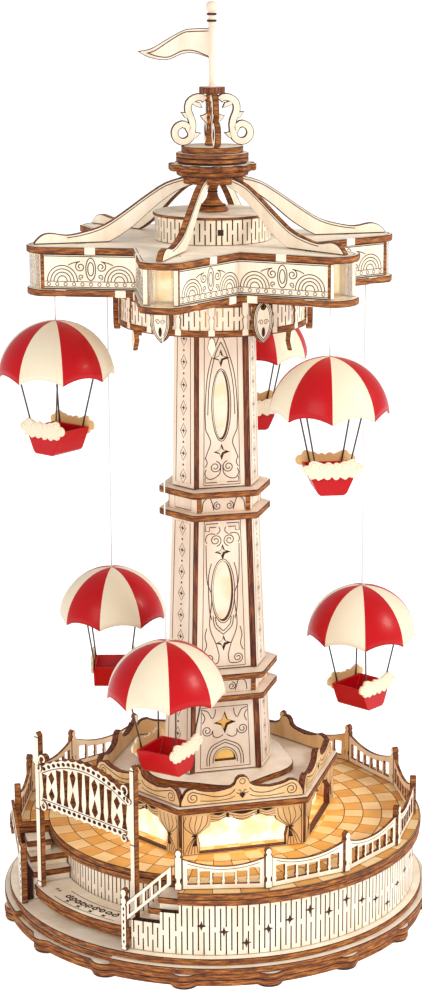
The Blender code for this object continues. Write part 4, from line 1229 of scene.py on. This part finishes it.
SPINDLE = ((0, 0), (3.4, 0), (3.4, 1.2), (2.5, 2.0), (3.2, 4.5), (2.4, 8.0), (3.0, 12.0), (2.4, 16.0),
           (3.2, 20.5), (2.6, 22.4), (0, 22.4))
for k in range(2):
    place = facing(-6.0 + 90.0 * k, -PLY / 2, scroll_low)
    cut_sheet(bm, [whole(STEM)], PLY, place)
    for side in (-1, 1):
        path = [(x * side, y) for x, y in smooth_line(SCROLL_PATH, 2)]
        cut_sheet(bm, [ribbon(path, 3.4, 1.0)], PLY - 0.2, raised(place, 0.1), 0.35)
        for leaf in LEAVES:
            cut_sheet(bm, [[(x * side, y) for x, y in leaf]], PLY - 0.4, raised(place, 0.2), 0.25)
lathe(bm, [(r, scroll_low + z) for r, z in SPINDLE], 20, 1)
finished("crossed_scrolls", bm, PLYWOOD, ("cap_scrolls",))

# The flagpole. A turned birch rod with rings stands in a small disc, with a ball on top; the pennant is a
# thin sheet engraved with a line along its edge and slotted onto the pole.
POLE_TOP, BALL_R = 425.0, 2.7
bm = bmesh.new()
cut_sheet(bm, [circle(5.8, 32)], 3.0, level(387.1), 0.2)
ball = [(0, POLE_TOP + BALL_R)]
for turn in range(12, 150, 12):
    down = math.radians(turn)
    ball.append((BALL_R * math.sin(down), POLE_TOP + BALL_R * math.cos(down)))
ROD = [(1.5, 422.6), (2.2, 421.9), (1.5, 421.2), (1.5, 419.6), (2.0, 419.0), (1.5, 418.4), (1.5, 390.1)]
lathe(bm, ball + ROD, 24)
for z in (421.9, 419.0):
    lathe(bm, [(2.0, z + 0.5), (2.3, z), (2.0, z - 0.5)], 24, 2)
FLAG_TOP = smooth_line([(1.0, 415.8), (-8, 415.6), (-12.6, 414.9), (-20, 411.0), (-27, 407.0),
                        (-33.2, 405.7)], 4)
FLAG_LOW = smooth_line([(-33.2, 405.7), (-28, 402.9), (-20.2, 401.8), (-13, 404.5), (-7, 404.6),
                        (1.0, 401.8)], 4)
place = facing(-14, -THIN / 2)
cut_sheet(bm, [FLAG_TOP + FLAG_LOW[1:]], THIN, place, 0.35)
inner = [(x * 0.9 - 1.6, z - 1.3) for x, z in FLAG_TOP[:-2]]
inner += [(x * 0.9 - 1.6, z + 1.3) for x, z in FLAG_LOW[3:]]
for lift in (THIN + 0.05, -0.05):
    stroke(bm, inner, 0.45, place, lift, closed=True)
# The pole and the pennant take the darker birch: painted shade.
finished("flagpole_and_pennant", bm, SHADED_PLYWOOD, ("flagpole",))

# The parachutes. Eight moulded gores, red and cream in turn, make one thin dome with a scalloped hem, and a
# small tub hangs from it on four wires. A pale thread winds each one up into the star.
CANOPY_R, CANOPY_HIGH, CANOPY_WALL, GORES = 26.5, 25.5, 0.9, 8
STRING_R = 73.3


def moulded(name, code, rough, coat=0.0):
    made, tree, shader = new_material(name)
    place = add(tree, "ShaderNodeTexCoord").outputs["Object"]
    grain = add(tree, "ShaderNodeTexNoise", {"Vector": place, "Scale": 1 / (0.6 * MM), "Detail": 2.0})
    relief = add(tree, "ShaderNodeBump", {"Height": grain.outputs["Fac"], "Strength": 0.1,
                                          "Distance": 0.05 * MM})
    shader.inputs["Base Color"].default_value = linear(code)
    shader.inputs["Roughness"].default_value = rough
    shader.inputs["Specular IOR Level"].default_value = 0.22
    shader.inputs["Coat Weight"].default_value = coat
    tree.links.new(relief.outputs["Normal"], shader.inputs["Normal"])
    return made


# Satin moulded plastic in signal red and in warm cream; the clouds have tan backs and faint moulded grooves.
red = moulded("satin_red_plastic", "#B4050F", 0.36, 0.05)
cream = moulded("satin_cream_plastic", "#E6D8BE", 0.45, 0.05)
tan = moulded("satin_tan_plastic", "#D9B47C", 0.5)
cloud_line = moulded("moulded_cloud_groove", "#C9B48E", 0.6)
wire_look = moulded("dark_wire", "#4A3A34", 0.4)
thread_look = moulded("pale_thread", "#E4E2DE", 0.8)


def dome_point(angle, t, radius, high, drop):
    """A point of a dome whose crown is the origin; t runs from 0 at the crown to 1 at the hem."""
    turn = math.radians(90.0 * t)
    spot = polar(radius * math.sin(turn), angle)
    spot.z = (-high * (1 - math.cos(turn)) - drop) * MM
    return spot


def canopy(name, node, body, place, first, cream_first):
    """First is the angle of one seam; cream_first is 1 where the gore that starts there is cream."""
    bm = bmesh.new()
    steps, rings = 8, 14
    hems = []
    outside = (CANOPY_R, CANOPY_HIGH, 0)
    inside = (CANOPY_R - CANOPY_WALL, CANOPY_HIGH - CANOPY_WALL, CANOPY_WALL)
    for wall, (radius, high, drop) in enumerate((outside, inside)):
        for gore in range(GORES):
            look = (gore + cream_first) % 2
            grid = []
            for i in range(rings + 1):
                row = []
                for j in range(steps + 1):
                    across = j / steps * 2 - 1
                    hem = 1.0 - 0.075 * (1 - across * across)
                    t = i / rings * hem
                    bulge = 1 - 0.02 * (across * across) * math.sin(math.pi * t)
                    angle = first + (gore + j / steps) * 360 / GORES
                    spot = dome_point(angle, t, radius * bulge, high, drop)
                    row.append(bm.verts.new(place + spot))
                grid.append(row)
            hems.append(grid[rings])
            for i in range(rings):
                for j in range(steps):
                    corners = [grid[i][j], grid[i + 1][j], grid[i + 1][j + 1], grid[i][j + 1]]
                    if wall:
                        corners.reverse()
                    face = bm.faces.new(corners)
                    face.material_index = look
                    face.smooth = True
    for gore in range(GORES):
        outer, inner = hems[gore], hems[gore + GORES]
        for j in range(steps):
            rim = bm.faces.new((outer[j], inner[j], inner[j + 1], outer[j + 1]))
            rim.material_index = (gore + cream_first) % 2
    bmesh.ops.remove_doubles(bm, verts=bm.verts, dist=1e-6)
    top = place.z / MM
    button = [(0, top), (1.6, top - 0.1), (2.2, top - 0.35)]
    lathe(bm, button, 20, 1 - cream_first, (place.x / MM, place.y / MM))
    finished(name, bm, (red, cream), (node,), body)


# The tub as rectangles, up its outside and down its inside: half width, half depth and height.
HULL = ((9.4, 5.2, -60.5), (9.4, 6.5, -59.5), (9.4, 8.9, -54.2), (9.4, 10.9, -49.0), (8.2, 9.7, -49.0),
        (8.2, 5.6, -58.9))
CLOUD_MIDDLE = -49.2
CLOUD_LOBES = ((-11.5, -48.4, 2.2), (-8.6, -46.4, 2.2), (-5.2, -47.4, 1.9), (-2.0, -47.0, 1.9),
               (1.6, -47.3, 1.9), (5.0, -46.8, 2.0), (8.6, -46.0, 2.2), (11.4, -48.2, 2.2),
               (8.8, -50.8, 1.7), (5.2, -51.4, 1.7), (1.4, -51.7, 1.5), (-2.4, -51.4, 1.6),
               (-6.0, -51.5, 1.7), (-9.2, -50.9, 1.7))


def cloud_outline():
    """The outer edge of the overlapping round lobes, found along rays from the board's middle."""
    points = []
    for k in range(96):
        turn = math.tau * k / 96
        ray = Vector((13.0 * math.cos(turn), 4.0 * math.sin(turn))).normalized()
        reach = 2.5
        for x, z, size in CLOUD_LOBES:
            out = Vector((x, z - CLOUD_MIDDLE))
            aside = abs(out.cross(ray))
            if aside < size:
                reach = max(reach, out.dot(ray) + math.sqrt(size * size - aside * aside))
        points.append((reach * ray.x, CLOUD_MIDDLE + reach * ray.y))
    return points


def rod(bm, start, end, radius, slot):
    along = end - start
    aim = Matrix.Translation((start + end) / 2) @ along.to_track_quat("Z", "Y").to_matrix().to_4x4()
    made = bmesh.ops.create_cone(bm, cap_ends=True, segments=10, radius1=radius * MM, radius2=radius * MM,
                                 depth=along.length, matrix=aim)
    for face in {f for v in made["verts"] for f in v.link_faces}:
        face.material_index = slot
        face.smooth = len(face.verts) == 4


def gondola(name, node, body, place, turn):
    """A small tub with a cloud board across each end, on four wires that spread up to the canopy."""
    spin = Matrix.Translation(place) @ Matrix.Rotation(math.radians(turn), 4, "Z")
    bm = bmesh.new()
    tub = bmesh.new()
    loops = []
    for x, y, z in HULL:
        side = ((x, y), (-x, y), (-x, -y), (x, -y))
        loops.append([tub.verts.new((a * MM, b * MM, z * MM)) for a, b in side])
    for near, after in zip(loops, loops[1:]):
        for k in range(4):
            tub.faces.new((near[k], near[(k + 1) % 4], after[(k + 1) % 4], after[k]))
    tub.faces.new(loops[0])
    tub.faces.new(loops[-1])
    bmesh.ops.recalc_face_normals(tub, faces=tub.faces)
    bmesh.ops.bevel(tub, geom=tub.edges[:], offset=0.35 * MM, segments=2, profile=0.5, affect="EDGES",
                    material=-1)
    tub.transform(spin)
    take_in(bm, tub)
    for side in (-1, 1):
        board = spin @ facing(90.0 * side, 9.5)
        cut_sheet(bm, [cloud_outline()], 1.1, board, 0.15, (1, 1, 1))
        cut_sheet(bm, [cloud_outline()], 0.1, raised(board, -0.1), 0.02, (4, 4, 4))
        for x, z, size in CLOUD_LOBES[:8]:
            stroke(bm, curl((x, z), size * 0.6, 0.55, 20, 1, 0.9), 0.25, board, 1.13, 2)
        for across in (-1, 1):
            foot = spin @ (Vector((side * 8.8, across * 7.2, -49.5)) * MM)
            head = spin @ (Vector((side * 13.7, across * 14.7, -11.6)) * MM)
            rod(bm, foot, head, 0.38, 3)
    finished(name, bm, (red, cream, cloud_line, wire_look, tan), (node,), body)


# Each parachute: its name, its arm's angle, its crown's height, the turn of its basket, the angle of one
# seam, and 1 where the gore that starts at that seam is cream.
PARACHUTES = (
    ("left", -90.0, 287.5, 36.0, -4.0, 0),
    ("front", -31.2, 152.3, -44.0, -10.0, 0),
    ("front_right", 30.0, 276.8, 83.0, -14.0, 1),
    ("right", 90.0, 152.3, -56.0, -14.0, 0),
    ("back", 150.0, 280.0, 80.0, 10.0, 1),
    ("back_left", -150.0, 152.3, -14.0, 20.0, 0),
)
for label, angle, crown, turn, first, cream_first in PARACHUTES:
    body = f"parachute_{label}"
    place = polar(STRING_R, angle, crown)
    canopy(f"gored_canopy_{label}", f"canopy_{label}", body, place, first, cream_first)
    gondola(f"basket_{label}", f"gondola_{label}", body, place, turn)
    bm = bmesh.new()
    hook, rim = polar(STRING_R, angle, STAR_LOW - 0.3), polar(STRING_R, angle, crown + 0.3)
    rod(bm, rim, hook, 0.3, 0)
    mesh = bpy.data.meshes.new(f"thread_{label}")
    bm.to_mesh(mesh)
    bm.free()
    mesh.materials.append(thread_look)
    piece = bpy.data.objects.new(f"thread_{label}", mesh)
    bpy.context.scene.collection.objects.link(piece)
    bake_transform(piece)
    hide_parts(f"string_{label}")
